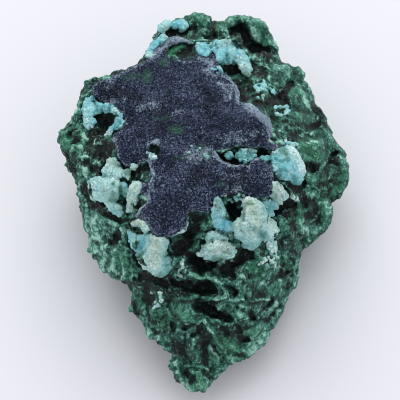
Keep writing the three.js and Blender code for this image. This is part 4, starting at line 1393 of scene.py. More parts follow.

# Creases between the lobes of the chrysocolla: half width, depth in millimetres, places. Painted shade also
# darkens them.
FOLDS = [
    (1.7, 0.7, 243, 207, 242, 216, 239, 224, 241, 231),
    (1.5, 0.5, 239, 227, 247, 230, 259, 228, 263, 221), (1.5, 0.6, 260, 229, 262, 241),
    (1.2, 0.4, 242, 205, 254, 204), (1.2, 0.5, 212, 205, 221, 208), (1.3, 0.5, 214, 218, 226, 217),
    (1.5, 0.6, 214, 229, 222, 232, 232, 233), (1.2, 0.5, 203, 243, 214, 239, 227, 240),
    (1, 0.4, 217, 246, 224, 252, 233, 254), (1.4, 0.5, 151, 242, 144, 252, 139, 259),
    (1.2, 0.4, 287, 150, 291, 160, 294, 172), (1, 0.3, 103, 177, 112, 176, 121, 179),
    (1.4, 0.6, 121, 182, 122, 201), (1.4, 0.6, 213, 41, 211, 50, 214, 58),
    (1.4, 0.5, 228, 40, 226, 52, 228, 63), (1.2, 0.4, 238, 46, 236, 58), (1.2, 0.4, 199, 46, 206, 50),
    (1.2, 0.4, 156, 252, 163, 256, 170, 254), (1.2, 0.4, 276, 189, 281, 195, 283, 203),
    (1.1, 0.5, 95, 102, 98, 112), (0.9, 0.4, 104, 103, 103, 113), (0.9, 0.4, 111, 104, 110, 113),
    (0.9, 0.3, 118, 116, 125, 119), (1, 0.3, 83, 118, 97, 117), (1, 0.4, 240, 150, 242, 163),
    (1, 0.4, 248, 149, 247, 162), (1.1, 0.4, 272, 158, 281, 163, 284, 160),
    (1.1, 0.3, 275, 172, 284, 171, 292, 176), (1, 0.3, 92, 190, 104, 192, 114, 188),
    (0.9, 0.3, 160, 37, 166, 38), (1, 0.4, 177, 21, 178, 29), (1.1, 0.3, 252, 211, 258, 216, 264, 213),
    (1, 0.3, 249, 233, 251, 243), (1, 0.3, 208, 250, 214, 252, 222, 248),
]

# Pale, dusty places on the chrysocolla, partly painted highlights.
WHITES = [
    (5, 0.8, 291, 150, 299, 158, 302, 172), (6, 0.6, 270, 225, 275, 236), (6, 0.7, 215, 243, 227, 247),
    (4, 0.6, 95, 184, 93, 192), (4, 0.6, 93, 127, 90, 126), (3, 0.9, 109, 133, 107, 137),
    (3, 0.4, 244, 151, 251, 151), (4, 0.7, 275, 184, 281, 192), (3, 0.6, 181, 230, 177, 232),
    (4, 0.6, 240, 58, 245, 66), (4, 0.5, 226, 43, 232, 42), (5, 0.6, 155, 266, 144, 262),
    (4, 0.6, 114, 178, 106, 169), (3, 0.9, 151, 157, 156, 157), (3, 0.6, 246, 200, 256, 199),
    (4, 0.5, 247, 237, 252, 240), (8, 0.6, 260, 262, 280, 257, 273, 266), (8, 0.6, 180, 257, 182, 276),
    (8, 0.6, 152, 292, 162, 294, 156, 307), (4, 0.8, 268, 243, 274, 250), (3, 0.6, 118, 112, 113, 110),
    (3, 0.5, 272, 152, 276, 152), (3, 0.7, 196, 252, 204, 253), (3, 0.6, 291, 141, 286, 140),
    (5, 0.5, 243, 212, 247, 224), (2.5, 0.6, 140, 204, 147, 203), (5, 0.6, 296, 198, 292, 198),
    (2.4, 0.5, 86, 110, 88, 122), (2, 0.6, 104, 108, 106, 110), (2.2, 0.7, 111, 131, 107, 137),
    (3, 0.4, 243, 152, 246, 154),
]

# Beige places on the chrysocolla.
WEATHERED = [
    (6, 0.8, 157, 238, 156, 252, 154, 262), (6, 0.6, 251, 210, 256, 222), (4, 0.9, 245, 199, 247, 204),
    (4, 0.8, 110, 160, 114, 165), (4, 0.9, 135, 222, 141, 222), (4, 0.7, 131, 192, 130, 206),
    (4, 0.8, 214, 202, 216, 205), (5, 0.5, 106, 190, 112, 196), (5, 0.6, 216, 250, 224, 244),
    (4, 0.6, 276, 190, 280, 200),
]

# Holes through the azurite crust.
CRUST_HOLES = [
    (4, 1, 153, 149, 157, 151), (7, 1, 175, 53, 184, 50, 190, 50),
]


# ---------------------------------------------------------------- finishes

Colour = tuple[float, float, float, float]


def colour(red: int, green: int, blue: int) -> Colour:
    """A screen colour from 0 to 255 as a linear shader colour."""
    linear = [((v / 255 + 0.055) / 1.055) ** 2.4 if v > 10 else v / 3295 for v in (red, green, blue)]
    return *linear, 1.0


@dataclass(frozen=True)
class Pattern:
    """A noise pattern: bumps a metre, layers of detail, and how strong the finer layers are."""

    scale: float
    detail: float = 3.0
    rough: float = 0.6


class Nodes:
    """Short ways to add and join a material's nodes."""

    def __init__(self, tree: bpy.types.NodeTree) -> None:
        """Works on one node tree."""
        self.tree = tree

    def add(self, kind: str, **settings: object) -> bpy.types.Node:
        """Adds a node and sets its properties.

        Args:
            kind: Its type.
            settings: Its properties.

        Returns:
            The new node.
        """
        node = self.tree.nodes.new(kind)
        for name, value in settings.items():
            setattr(node, name, value)
        return node

    def put(self, node: bpy.types.Node, **values: object) -> bpy.types.Node:
        """Joins a node's inputs to sockets or sets them to values; _ stands for a space in a name.

        Args:
            node: The node.
            values: A socket or a value for each input.

        Returns:
            The same node.
        """
        for name, value in values.items():
            socket = node.inputs[name.replace("_", " ")]
            if isinstance(value, bpy.types.NodeSocket):
                self.tree.links.new(value, socket)
            else:
                socket.default_value = value
        return node

    def attribute(self, name: str) -> bpy.types.NodeSocket:
        """A number stored on the mesh's vertices."""
        return self.add("ShaderNodeAttribute", attribute_name=name).outputs["Fac"]

    def place(self) -> bpy.types.NodeSocket:
        """Object coordinates."""
        return self.add("ShaderNodeTexCoord").outputs["Object"]

    def noise(self, vector: object, pattern: Pattern) -> bpy.types.NodeSocket:
        """Soft noise over a vector.

        Args:
            vector: Where the noise is read.
            pattern: What the noise is like.

        Returns:
            The noise, from 0 to 1.
        """
        node = self.add("ShaderNodeTexNoise")
        self.put(node, Vector=vector, Scale=pattern.scale, Detail=pattern.detail, Roughness=pattern.rough)
        return node.outputs["Fac"]

    def math(self, operation: str, *values: object, clamp: bool = False) -> bpy.types.NodeSocket:
        """Arithmetic on sockets or numbers.

        Args:
            operation: The sum to do.
            values: What goes in.
            clamp: Whether the result is kept from 0 to 1.

        Returns:
            The result.
        """
        node = self.add("ShaderNodeMath", operation=operation, use_clamp=clamp)
        for socket, value in zip(node.inputs, values):
            if isinstance(value, bpy.types.NodeSocket):
                self.tree.links.new(value, socket)
            else:
                socket.default_value = value
        return node.outputs[0]

    def product(self, one: object, other: object) -> bpy.types.NodeSocket:
        """Two values multiplied."""
        return self.math("MULTIPLY", one, other)

    def total(self, *terms: tuple[object, float], offset: float = 0.0, clamp: bool = False) -> object:
        """The sum of several (value, gain) pairs and an offset.

        Args:
            terms: Each value and its gain.
            offset: What is added at the end.
            clamp: Whether the result is kept from 0 to 1.

        Returns:
            The sum.
        """
        result: object = offset
        for index, (value, gain) in enumerate(terms, 1):
            result = self.math("MULTIPLY_ADD", value, gain, result, clamp=clamp and index == len(terms))
        return result

    def span(self, value: object, source: Sequence[float], target: Sequence[float] = (0.0, 1.0)) -> object:
        """Rescales and limits a value from one span to another.

        Args:
            value: What goes in.
            source: Its own span.
            target: The span to bring it to.

        Returns:
            The value in its new span.
        """
        node = self.add("ShaderNodeMapRange")
        low, high = target
        self.put(node, Value=value, From_Min=source[0], From_Max=source[1], To_Min=low, To_Max=high)
        return node.outputs[0]

    def ramp(self, value: object, stops: Sequence[tuple[float, Colour]]) -> bpy.types.NodeSocket:
        """Runs a value through several colours, each (position, colour).

        Args:
            value: What goes in.
            stops: Each position from 0 to 1, and its colour.

        Returns:
            The colour.
        """
        node = self.put(self.add("ShaderNodeValToRGB"), Fac=value)
        elements = node.color_ramp.elements
        elements[0].position, elements[0].color = stops[0]
        elements[1].position, elements[1].color = stops[-1]
        for position, shade in stops[1:-1]:
            elements.new(position).color = shade
        return node.outputs["Color"]

    def mix(self, share: object, one: object, other: object) -> bpy.types.NodeSocket:
        """Mixes two colours."""
        node = self.add("ShaderNodeMix", data_type="RGBA")
        return self.put(node, Factor=share, A=one, B=other).outputs["Result"]


def stretched(nodes: Nodes, vector: bpy.types.NodeSocket, turn: Sequence, scale: Sequence) -> object:
    """Turns and stretches a vector, so that a pattern on it runs in streaks."""
    return nodes.put(nodes.add("ShaderNodeMapping"), Vector=vector, Rotation=turn, Scale=scale).outputs[0]


@dataclass(frozen=True)
class Grain:
    """Fine mineral grain that every finish shares, at a finish's own scale and contrast."""

    scale: float
    contrast: float

    name: ClassVar[str] = "mineral_grain"
    detail: ClassVar[float] = 3.0
    rough: ClassVar[float] = 0.65
    finer: ClassVar[float] = 1.7
    cell_gain: ClassVar[float] = 0.35
    single_gain: ClassVar[float] = 0.32
    middle: ClassVar[float] = 0.33

    def placed(self, nodes: Nodes) -> bpy.types.Node:
        """Puts the grain in a material."""
        group = nodes.add("ShaderNodeGroup", node_tree=bpy.data.node_groups.get(self.name) or self.group())
        return nodes.put(group, Scale=self.scale, Contrast=self.contrast)

    def group(self) -> bpy.types.ShaderNodeTree:
        """The node group, with Scale and Contrast in, and Speckle and Height out.

        Returns:
            The new group.
        """
        tree = bpy.data.node_groups.new(self.name, "ShaderNodeTree")
        for way, names in (("INPUT", ("Scale", "Contrast")), ("OUTPUT", ("Speckle", "Height"))):
            for name in names:
                tree.interface.new_socket(name, in_out=way, socket_type="NodeSocketFloat")
        nodes = Nodes(tree)
        outside = nodes.add("NodeGroupInput").outputs
        place = nodes.place()
        coarse = nodes.noise(place, Pattern(1.0, self.detail, self.rough))
        nodes.put(coarse.node, Scale=outside["Scale"])
        fine = nodes.add("ShaderNodeTexVoronoi", feature="F1")
        nodes.put(fine, Vector=place, Scale=nodes.product(outside["Scale"], self.finer))
        grain = nodes.total((fine.outputs["Distance"], -self.cell_gain), (coarse, 1.0))
        single = (fine.outputs["Color"], self.single_gain)
        mottled = nodes.total((grain, 1.0), single, offset=-self.middle - self.single_gain / 2)
        speckle = nodes.math("MULTIPLY_ADD", mottled, outside["Contrast"], 0.5, clamp=True)
        nodes.put(nodes.add("NodeGroupOutput"), Speckle=speckle, Height=grain)
        return tree


@dataclass(frozen=True)
class Finish:
    """A material's name, its shader's own values, and the depth and share of its fine relief."""

    name: str
    roughness: float
    specular: float
    depth: float = 0.0
    strength: float = 0.0

    def started(self) -> tuple[bpy.types.Material, Nodes, bpy.types.Node]:
        """A new material, its nodes and its Principled shader.

        Returns:
            The material, its nodes and its shader.
        """
        material = bpy.data.materials.new(self.name)
        material.use_nodes = True
        nodes = Nodes(material.node_tree)
        shader = material.node_tree.nodes["Principled BSDF"]
        nodes.put(shader, Roughness=self.roughness, Specular_IOR_Level=self.specular)
        return material, nodes, shader

    def dressed(self, nodes: Nodes, shader: bpy.types.Node, body: object, height: object) -> None:
        """Gives the shader its colour and its fine relief.

        Args:
            nodes: The material's nodes.
            shader: The Principled shader.
            body: The colour.
            height: The relief.
        """
        bump = nodes.add("ShaderNodeBump")
        nodes.put(bump, Distance=self.depth, Strength=self.strength, Height=height)
        nodes.put(shader, Base_Color=body, Normal=bump.outputs["Normal"])


@dataclass(frozen=True)
class MalachiteFinish(Finish):
    """Dark green, fibrous and rough, with painted shade near black in its hollows and painted highlights on
    its crests.
    """

    name: str = "malachite"
    roughness: float = 0.6
    specular: float = 0.3
    grain: Grain = Grain(1700.0, 2.6)
    depth: float = 0.0004
    strength: float = 1.0

    deep: Colour = colour(7, 17, 17)
    dark: Colour = colour(18, 50, 43)
    middle: Colour = colour(44, 96, 84)
    light: Colour = colour(96, 156, 140)
    vivid: Colour = colour(34, 118, 74)
    brown: Colour = colour(50, 70, 58)
    pale: Colour = colour(158, 206, 188)

    streaks: Pattern = Pattern(1500.0)
    streak_turn: tuple = (0.5, 0.3, 0.7)
    streak_scale: tuple = (1.0, 0.22, 1.0)
    blotches: Pattern = Pattern(520.0)
    green_patches: Pattern = Pattern(190.0, 2.0, 0.5)
    green_span: tuple = (0.5, 0.68)
    rusty_patches: Pattern = Pattern(330.0)
    rusty_span: tuple = (0.56, 0.72)

    speckle_gain: float = 0.38
    streak_gain: float = 0.5
    blotch_gain: float = 0.5
    crest_gain: float = 0.3
    tone_offset: float = -0.93
    dust_speckle: float = 0.7
    dust_crest: float = 0.2
    dust_offset: float = -0.47
    relief_streaks: float = 0.8

    def build(self) -> bpy.types.Material:
        """The material.

        Returns:
            The new material.
        """
        material, nodes, shader = self.started()
        place = nodes.place()
        grain = self.grain.placed(nodes).outputs
        speckle, crest, hollow = grain["Speckle"], nodes.attribute("crest"), nodes.attribute("hollow")
        streaks = nodes.noise(stretched(nodes, place, self.streak_turn, self.streak_scale), self.streaks)
        # Painted highlight: raised places add to the tone, and the tone attribute carries painted shade and
        # light too.
        tone = nodes.total(
            (nodes.attribute("tone"), 1.0), (speckle, self.speckle_gain), (streaks, self.streak_gain),
            (nodes.noise(place, self.blotches), self.blotch_gain), (crest, self.crest_gain),
            offset=self.tone_offset,
        )
        shades = (self.deep, self.dark, self.middle, self.light, self.pale)
        body = nodes.ramp(tone, tuple(zip((0.0, 0.25, 0.52, 0.82, 1.0), shades)))
        green = nodes.span(nodes.noise(place, self.green_patches), self.green_span, (0.0, 0.5))
        green = nodes.math("MAXIMUM", green, nodes.attribute("vivid"))
        body = nodes.mix(nodes.product(green, nodes.span(tone, (0.15, 0.6))), body, self.vivid)
        rusty = nodes.span(nodes.noise(place, self.rusty_patches), self.rusty_span, (0.0, 0.4))
        body = nodes.mix(rusty, body, self.brown)
        # Painted shade: hollows, cuts and dark patches go towards near black.
        body = nodes.mix(nodes.product(hollow, nodes.span(speckle, (0.4, 1.0), (1.0, 0.6))), body, self.deep)
        # Pale dusting, partly painted highlight on raised places and lit streaks.
        dusted = nodes.total(
            (nodes.attribute("pale"), 1.0), (speckle, self.dust_speckle), (crest, self.dust_crest),
            offset=self.dust_offset,
        )
        body = nodes.mix(nodes.span(dusted, (0.25, 0.8)), body, self.pale)
        height = nodes.total((streaks, self.relief_streaks), (grain["Height"], 1.0))
        self.dressed(nodes, shader, body, height)
        return material


@dataclass(frozen=True)
class AzuriteFinish(Finish):
    """Dusky blue and velvety: dark between its tiny crystals, with painted glints on a few paler tips,
    painted sheen in hazy places and painted shade in darker places.
    """

    name: str = "azurite"
    roughness: float = 0.55
    specular: float = 0.2
    grain: Grain = Grain(2300.0, 2.4)
    depth: float = 0.0002
    strength: float = 0.7

    deep: Colour = colour(9, 15, 30)
    middle: Colour = colour(32, 47, 73)
    light: Colour = colour(118, 128, 156)
    haze: Colour = colour(142, 160, 176)
    stain: Colour = colour(54, 98, 78)

    drifts: Pattern = Pattern(220.0, 3.0, 0.55)
    clouds: Pattern = Pattern(500.0)
    speckle_gain: float = 0.72
    spark_gain: float = 0.5
    drift_gain: float = 0.9
    deep_gain: float = -0.3
    tone_offset: float = -0.504
    haze_cloud: float = 1.2
    haze_speckle: float = 0.8
    haze_offset: float = -1.0
    stain_gain: float = 0.75

    def build(self) -> bpy.types.Material:
        """The material.

        Returns:
            The new material.
        """
        material, nodes, shader = self.started()
        place = nodes.place()
        grain = self.grain.placed(nodes).outputs
        speckle = grain["Speckle"]
        # Painted glints brighten some crystals; painted shade darkens the shaded places.
        tone = nodes.total(
            (speckle, self.speckle_gain), (nodes.attribute("spark"), self.spark_gain),
            (nodes.noise(place, self.drifts), self.drift_gain), (nodes.attribute("deep"), self.deep_gain),
            offset=self.tone_offset,
        )
        body = nodes.ramp(tone, ((0.08, self.deep), (0.46, self.middle), (1.0, self.light)))
        # Pale hazy places, partly painted sheen.
        haze = nodes.total(
            (nodes.attribute("haze"), 1.0), (nodes.noise(place, self.clouds), self.haze_cloud),
            (speckle, self.haze_speckle), offset=self.haze_offset,
        )
        body = nodes.mix(nodes.span(haze, (0.3, 0.95), (0.0, 0.95)), body, self.haze)
        body = nodes.mix(nodes.product(nodes.attribute("stain"), self.stain_gain), body, self.stain)
        self.dressed(nodes, shader, body, grain["Height"])
        return material


@dataclass(frozen=True)
class ChrysocollaFinish(Finish):
    """Matt pale blue-green, bluer in places, beige where it is weathered, with painted shade dark in its
    folds, hollows and shaded sides, and painted highlights on its lit crests.
    """

    name: str = "chrysocolla"
    roughness: float = 0.7
    specular: float = 0.2
    grain: Grain = Grain(1900.0, 2.2)
    depth: float = 0.0003
    strength: float = 0.9

    pale: Colour = colour(172, 216, 210)
    cyan: Colour = colour(114, 190, 202)
    teal: Colour = colour(78, 152, 154)
    beige: Colour = colour(182, 206, 192)
    # Dark blue-green for dark specks, and for painted shade in folds and hollows.
    fold: Colour = colour(44, 86, 84)
    vein: Colour = colour(58, 104, 82)
    white: Colour = colour(214, 234, 230)

    drifts: Pattern = Pattern(420.0)
    drift_gain: float = 2.0
    drift_offset: float = -1.04
    teal_patches: Pattern = Pattern(760.0, 3.0, 0.65)
    speck_cells: float = 1300.0
    speck_patches: Pattern = Pattern(700.0, 1.0, 0.5)
    dust_speckle: float = 0.8
    dust_offset: float = -0.4

    def build(self) -> bpy.types.Material:
        """The material.

        Returns:
            The new material.
        """
        material, nodes, shader = self.started()
        place = nodes.place()
        grain = self.grain.placed(nodes).outputs
        speckle = grain["Speckle"]
        blue = nodes.total(
            (nodes.attribute("tint"), 1.0), (nodes.noise(place, self.drifts), self.drift_gain),
            offset=self.drift_offset, clamp=True,
        )
        body = nodes.mix(blue, self.pale, self.cyan)
        body = nodes.mix(nodes.attribute("weathered"), body, self.beige)
        # Teal: random patches of its own colour, and painted shade where the teal attribute is marked.
        patches = nodes.span(nodes.noise(place, self.teal_patches), (0.52, 0.75), (0.0, 0.6))
        body = nodes.mix(nodes.math("ADD", nodes.attribute("teal"), patches, clamp=True), body, self.teal)
        # Painted highlight and pale dusting towards white.
        crest = nodes.attribute("crest")
        dusty = nodes.total((crest, 1.0), (speckle, self.dust_speckle), offset=self.dust_offset)
        body = nodes.mix(nodes.span(dusty, (0.3, 1.1), (0.0, 0.95)), body, self.white)
        body = nodes.mix(nodes.span(speckle, (0.0, 0.55), (0.42, 0.0)), body, self.fold)
        body = nodes.mix(self.specks(nodes, place), body, self.fold)
        # Painted shade in folds, hollows, pinholes and where growths meet the stone.
        body = nodes.mix(nodes.attribute("hollow"), body, self.fold)
        body = nodes.mix(nodes.attribute("stain"), body, self.vein)
        self.dressed(nodes, shader, body, grain["Height"])
        return material

    def specks(self, nodes: Nodes, place: bpy.types.NodeSocket) -> bpy.types.NodeSocket:
        """Dark pinpoints, in patches.

        Args:
            nodes: The material's nodes.
            place: Where the pattern lies.

        Returns:
            1 in a pinpoint, 0 elsewhere.
        """
        dots = nodes.add("ShaderNodeTexVoronoi", feature="F1")
        nodes.put(dots, Vector=place, Scale=self.speck_cells)
        dark = nodes.span(dots.outputs["Distance"], (0.0, 0.3), (1.0, 0.0))
        patches = nodes.span(nodes.noise(place, self.speck_patches), (0.52, 0.6), (0.0, 0.7))
        return nodes.product(dark, patches)


# ---------------------------------------------------------------- places on the face

# How far from a drawn line, in half widths, anything of it can show.
STROKE_REACH = 1.9

# How softly one direction of fibres gives way to the next, and how deep a fibre runs for its width.
FIBRE_BLEND = 2.0
FIBRE_DEPTH = 1.4


def strokes(
    a: np.ndarray, b: np.ndarray, lines: Sequence[Sequence], wander: np.ndarray, inner: float, outer: float
) -> np.ndarray:
    """Strongest of several soft-edged lines at each place.

    Args:
        a: Places across.
        b: Places up.
        lines: Each line's half width, strength and places.
        wander: Noise that breaks up their edges.
        inner: Share of the half width inside which a line is at full strength.
        outer: Share of the half width outside which it is gone.

    Returns:
        One strength for each place.
    """
    total = np.zeros(len(a))
    for steps, strength, *places in lines:
        width = steps * GRID_STEP
        line = from_grid(places + places[-2:])
        low, high = line.min(0) - STROKE_REACH * width, line.max(0) + STROKE_REACH * width
        near = np.flatnonzero((a > low[0]) & (a < high[0]) & (b > low[1]) & (b < high[1]))
        best = np.full(len(near), np.inf)
        for start, end in zip(line, line[1:]):
            best = np.minimum(best, segment_distance(a[near], b[near], start, end))
        share = smooth_step(outer, inner, np.sqrt(best) / width + wander[near])
        total[near] = np.maximum(total[near], strength * share)
    return total


def in_crust_hole(a: np.ndarray, b: np.ndarray, wander: np.ndarray) -> np.ndarray:
    """1 inside the holes through the azurite crust, 0 outside them."""
    return strokes(a, b, CRUST_HOLES, 0.3 * wander, 0.9, 1.15)


def fibres(skin: Skin, length: float, width: float, seed: int) -> np.ndarray:
    """Noise drawn out along the malachite's fibres.

    Args:
        skin: The vertices.
        length: Length of a fibre in millimetres.
        width: Width of a fibre in millimetres.
        seed: Sets apart one use from another.

    Returns:
        One value for each vertex, about -1 to 1.
    """
    across, up, out = on_face(skin.points).T
    angles = sorted({angle for _, _, angle in FIBRES})
    total, weight = np.zeros(len(across)), np.zeros(len(across))
    for index, angle in enumerate(angles):
        share = np.zeros(len(across))
        for a, b in from_grid([step for fibre in FIBRES if fibre[2] == angle for step in fibre[:2]]):
            share += 1 / ((skin.a - a) ** 2 + (skin.b - b) ** 2 + FIBRE_BLEND) ** 2
        turn = math.radians(angle)
        along = across * math.cos(turn) + up * math.sin(turn)
        over = -across * math.sin(turn) + up * math.cos(turn)
        drawn = np.column_stack([along / length, over / width, out / (FIBRE_DEPTH * width)])
        total += share * soft_noise(drawn, 1.0, seed + index)
        weight += share
    return total / weight


# ---------------------------------------------------------------- pieces


@dataclass(frozen=True)
class Chip:
    """One size of chips and knobs in the malachite's skin, in millimetres."""

    length: float
    seed: int
    slope: float
    step: float
    dome: float = 0.0

    def angular(self, pattern: Cells) -> np.ndarray:
        """Tilted planes that also stand at different heights."""
        return self.slope * pattern.slope + self.step * (pattern.name - 0.5)


@dataclass
class MalachiteBody:
    """The dark green body that everything else grew on."""

    material: bpy.types.Material
    ground: FaceMap

    # Faces.
    merge_gap: float = 0.001
    skin_voxel: float = 0.45
    skin_passes: int = 8
    ball_voxel: float = 0.3
    voxel: float = 0.24
    triangle_limit: int = 192000
    keep_covered: float = 0.15
    keep_hidden: float = 0.5
    fewest_in_shell: int = 1000

    # Where other pieces lie on it, and where it rests.
    under_crust: float = 0.45
    under_growth: float = 0.5
    ball_sink: float = 0.35
    box_slack: float = 0.012
    flat_below: float = 0.25

    # Forms of a millimetre or more.
    warp: Layer = (2.5, 0.8, 13)
    slabs: Chip = Chip(5.0, 20, 1.3, 0.6)
    chips: Chip = Chip(2.6, 21, 0.75, 0.4, 0.5)
    small: Chip = Chip(1.3, 22, 0.28, 0.15, 0.22)
    dome_width: float = 0.62
    knobby: Layer = (8.0, 1.0, 12)
    swell: Layer = (6.0, 0.4, 11)
    ribs: tuple = (4.5, 1.1, 60)
    rib_height: float = 0.2
    sink: float = 0.15
    crack: float = 0.5
    crack_width: float = 0.1
    crevice: float = 0.6
    crevice_length: float = 4.0
    ridge_height: float = 1.5
    cut_depth: float = 1.15

    # Forms under a millimetre.
    tiny: Chip = Chip(0.75, 24, 0.24, 0.14)
    threads: tuple = (2.2, 0.5, 80)
    thread_height: float = 0.1
    pitting: Layer = (0.8, 0.1, 25)

    # What makes drawn ridges, crevices and tones ragged.
    wander: tuple = ((1.6, 0.22, 33), (0.8, 0.16, 32))
    stray: tuple = ((1.7, 0.32, 34), (0.7, 0.16, 36))

    def build(self) -> bpy.types.Object:
        """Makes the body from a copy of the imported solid.

        Returns:
            The finished piece.
        """
        obj = self.grown(self.softened_solid())
        self.shape(obj)
        remeshed(obj, self.voxel, 1)
        self.roughen(obj)
        self.thin_hidden_side(obj)
        self.mark_tones(obj)
        return finish_piece(obj, self.material)

    def softened_solid(self) -> bpy.types.Object:
        """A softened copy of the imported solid, its loose triangles merged first.

        Returns:
            The new object.
        """
        points, faces = triangles_of(frame["nodes"][NODE])
        obj = mesh_from("malachite_body", points, faces)
        edit(obj, "SELECT")
        bpy.ops.mesh.remove_doubles(threshold=self.merge_gap * MM)
        bpy.ops.object.mode_set(mode="OBJECT")
        remeshed(obj, self.skin_voxel, self.skin_passes)
        self.clear_growths(obj)
        return obj

    def clear_growths(self, obj: bpy.types.Object) -> None:
        """Lowers the skin under every chrysocolla growth, which has a piece of its own.

        Args:
            obj: The mesh object.
        """
        skin = Skin(obj)
        inside = np.full(len(skin.a), -np.inf)
        for growth in GROWTHS:
            inside = np.maximum(inside, edge_distance(skin.a, skin.b, from_grid(growth.edge)))
        above = skin.c - self.ground.at(skin.a, skin.b) + self.under_growth
        low = (skin.normals @ OUT > -0.2) * np.maximum(above, 0) * smooth_step(-0.6, 0.2, inside)
        set_points(obj, skin.points - OUT * (low * MM)[:, None])

    def grown(self, obj: bpy.types.Object) -> bpy.types.Object:
        """Joins the rounded malachite balls to the body's skin.

        Args:
            obj: The body's skin.

        Returns:
            The joined body.
        """
        a, b, radius = placed_balls(MALACHITE_BALLS)
        rows = np.column_stack([a, b, self.ground.at(a, b) - self.ball_sink * radius, radius])
        name = obj.name
        merged = mesh_from(name, *joined([triangles_of(obj)] + balls_at(rows, 3)))
        bpy.data.objects.remove(obj)
        merged.name = name
        remeshed(merged, self.ball_voxel, 2)
        return merged

    def calm(self, skin: Skin) -> np.ndarray:
        """1 where the azurite crust covers the body, 0 elsewhere."""
        return skin.facing(-0.15, 0.25) * smooth_step(-0.3, 0.3, edge_distance(skin.a, skin.b, CRUST_EDGE))

    def roughness(self, skin: Skin, facing: np.ndarray) -> np.ndarray:
        """1 where the malachite is chipped, less where it is smooth."""
        return 1 - facing * skin.drawn(SMOOTH, np.zeros(len(skin.a)), 0.4, 1.2)

    def warped(self, skin: Skin) -> np.ndarray:
        """The vertices' places, pushed about so that chips are not all alike.

        Args:
            skin: The vertices.

        Returns:
            One place for each vertex, in millimetres.
        """
        length, height, seed = self.warp
        pushes = [soft_noise(skin.place, length, seed + axis) for axis in range(3)]
        return skin.place + height * np.column_stack(pushes)

    def shape(self, obj: bpy.types.Object) -> None:
        """Breaks the skin into ridges, chips, knobs and crevices a millimetre or more across.

        Args:
            obj: The body.
        """
        skin = Skin(obj)
        calm, wander = self.calm(skin), skin.noise(*self.wander)
        hole = in_crust_hole(skin.a, skin.b, wander)
        facing = skin.facing(-0.15, 0.25)
        rough = self.roughness(skin, facing)
        warped = self.warped(skin)
        angular, rounded = np.zeros(len(calm)), np.zeros(len(calm))
        for chip in (self.slabs, self.chips, self.small):
            pattern = cells(warped, chip.length, chip.seed)
            angular += chip.angular(pattern)
            rounded += chip.dome * pattern.dome(self.dome_width)
            if chip is self.slabs:
                cracks = self.crack * smooth_step(self.crack_width, 0.0, pattern.gap)
        knobby = smooth_step(-0.1, 0.4, skin.noise(self.knobby))
        ribs = self.rib_height * (1 - 2 * np.abs(fibres(skin, *self.ribs)))
        height = rounded * knobby + angular * (1 - 0.8 * knobby) + ribs * (1 - 0.6 * knobby)
        height -= self.sink + cracks
        crevice = 1 - 2 * np.abs(layered_noise(warped, self.crevice_length, 2, 31))
        height -= self.crevice * smooth_step(0.87, 1.0, crevice)
        height = height * (0.12 + 0.88 * rough) + skin.noise(self.swell)
        skin.stray(*self.stray)
        risen = self.ridge_height * facing * skin.drawn(RIDGES, wander, 0.0, 1.3)
        sunk = self.cut_depth * facing * skin.drawn(CUTS, 2.0 * wander, 0.5, 1.5)
        height = (height * (1 - 0.5 * smooth_step(0, 0.5, sunk)) + risen) * (1 - calm * (1 - hole))
        moved = skin.raised(height - calm * self.under_crust) - OUT * (sunk * MM)[:, None]
        set_points(obj, self.kept_in_box(skin.place, moved))

    def roughen(self, obj: bpy.types.Object) -> None:
        """Adds the chips and fibres under a millimetre.

        Args:
            obj: The body.
        """
        skin = Skin(obj)
        height = self.tiny.angular(cells(skin.place, self.tiny.length, self.tiny.seed))
        height += self.thread_height * fibres(skin, *self.threads) + skin.noise(self.pitting)
        hole = in_crust_hole(skin.a, skin.b, skin.noise(*self.wander))
        height *= 1 - 0.8 * self.calm(skin) * (1 - hole)
        height *= 0.2 + 0.8 * self.roughness(skin, skin.facing(-0.15, 0.25))
        set_points(obj, self.kept_in_box(skin.place, skin.raised(height)))

    def kept_in_box(self, place: np.ndarray, moved: np.ndarray) -> np.ndarray:
        """Keeps moved points off the floor, the flat base flat and the whole in the solid's box.

        Args:
            place: Where the points were, in millimetres.
            moved: Where they are now, in metres.

        Returns:
            The points, in metres.
        """
        low, high = np.array(CAD_BOX[0]), np.array(CAD_BOX[1])
        slack = self.box_slack * (high - low)
        moved = np.clip(moved, low - slack * (1, 1, 0), high + slack)
        moved[:, 2] = np.maximum(moved[:, 2], 0.02 * MM)
        base = place[:, 2] < self.flat_below
        moved[base, 2] = np.minimum(moved[base, 2], self.flat_below * MM)
        return moved

    def thin_hidden_side(self, obj: bpy.types.Object) -> None:
        """Spends fewer faces under the crust, on the underside and on the back than on the face.

        Args:
            obj: The body.
        """
        drop_shards(obj, self.fewest_in_shell)
        skin = Skin(obj)
        hole = in_crust_hole(skin.a, skin.b, skin.noise(*self.wander))
        thinned(obj, (self.calm(skin) > 0.95) & (hole < 0.05), self.keep_covered)
        thinned(obj, normals_of(obj) @ OUT < -0.1, self.keep_hidden)
        thinned_to(obj, self.triangle_limit)
        mended(obj)

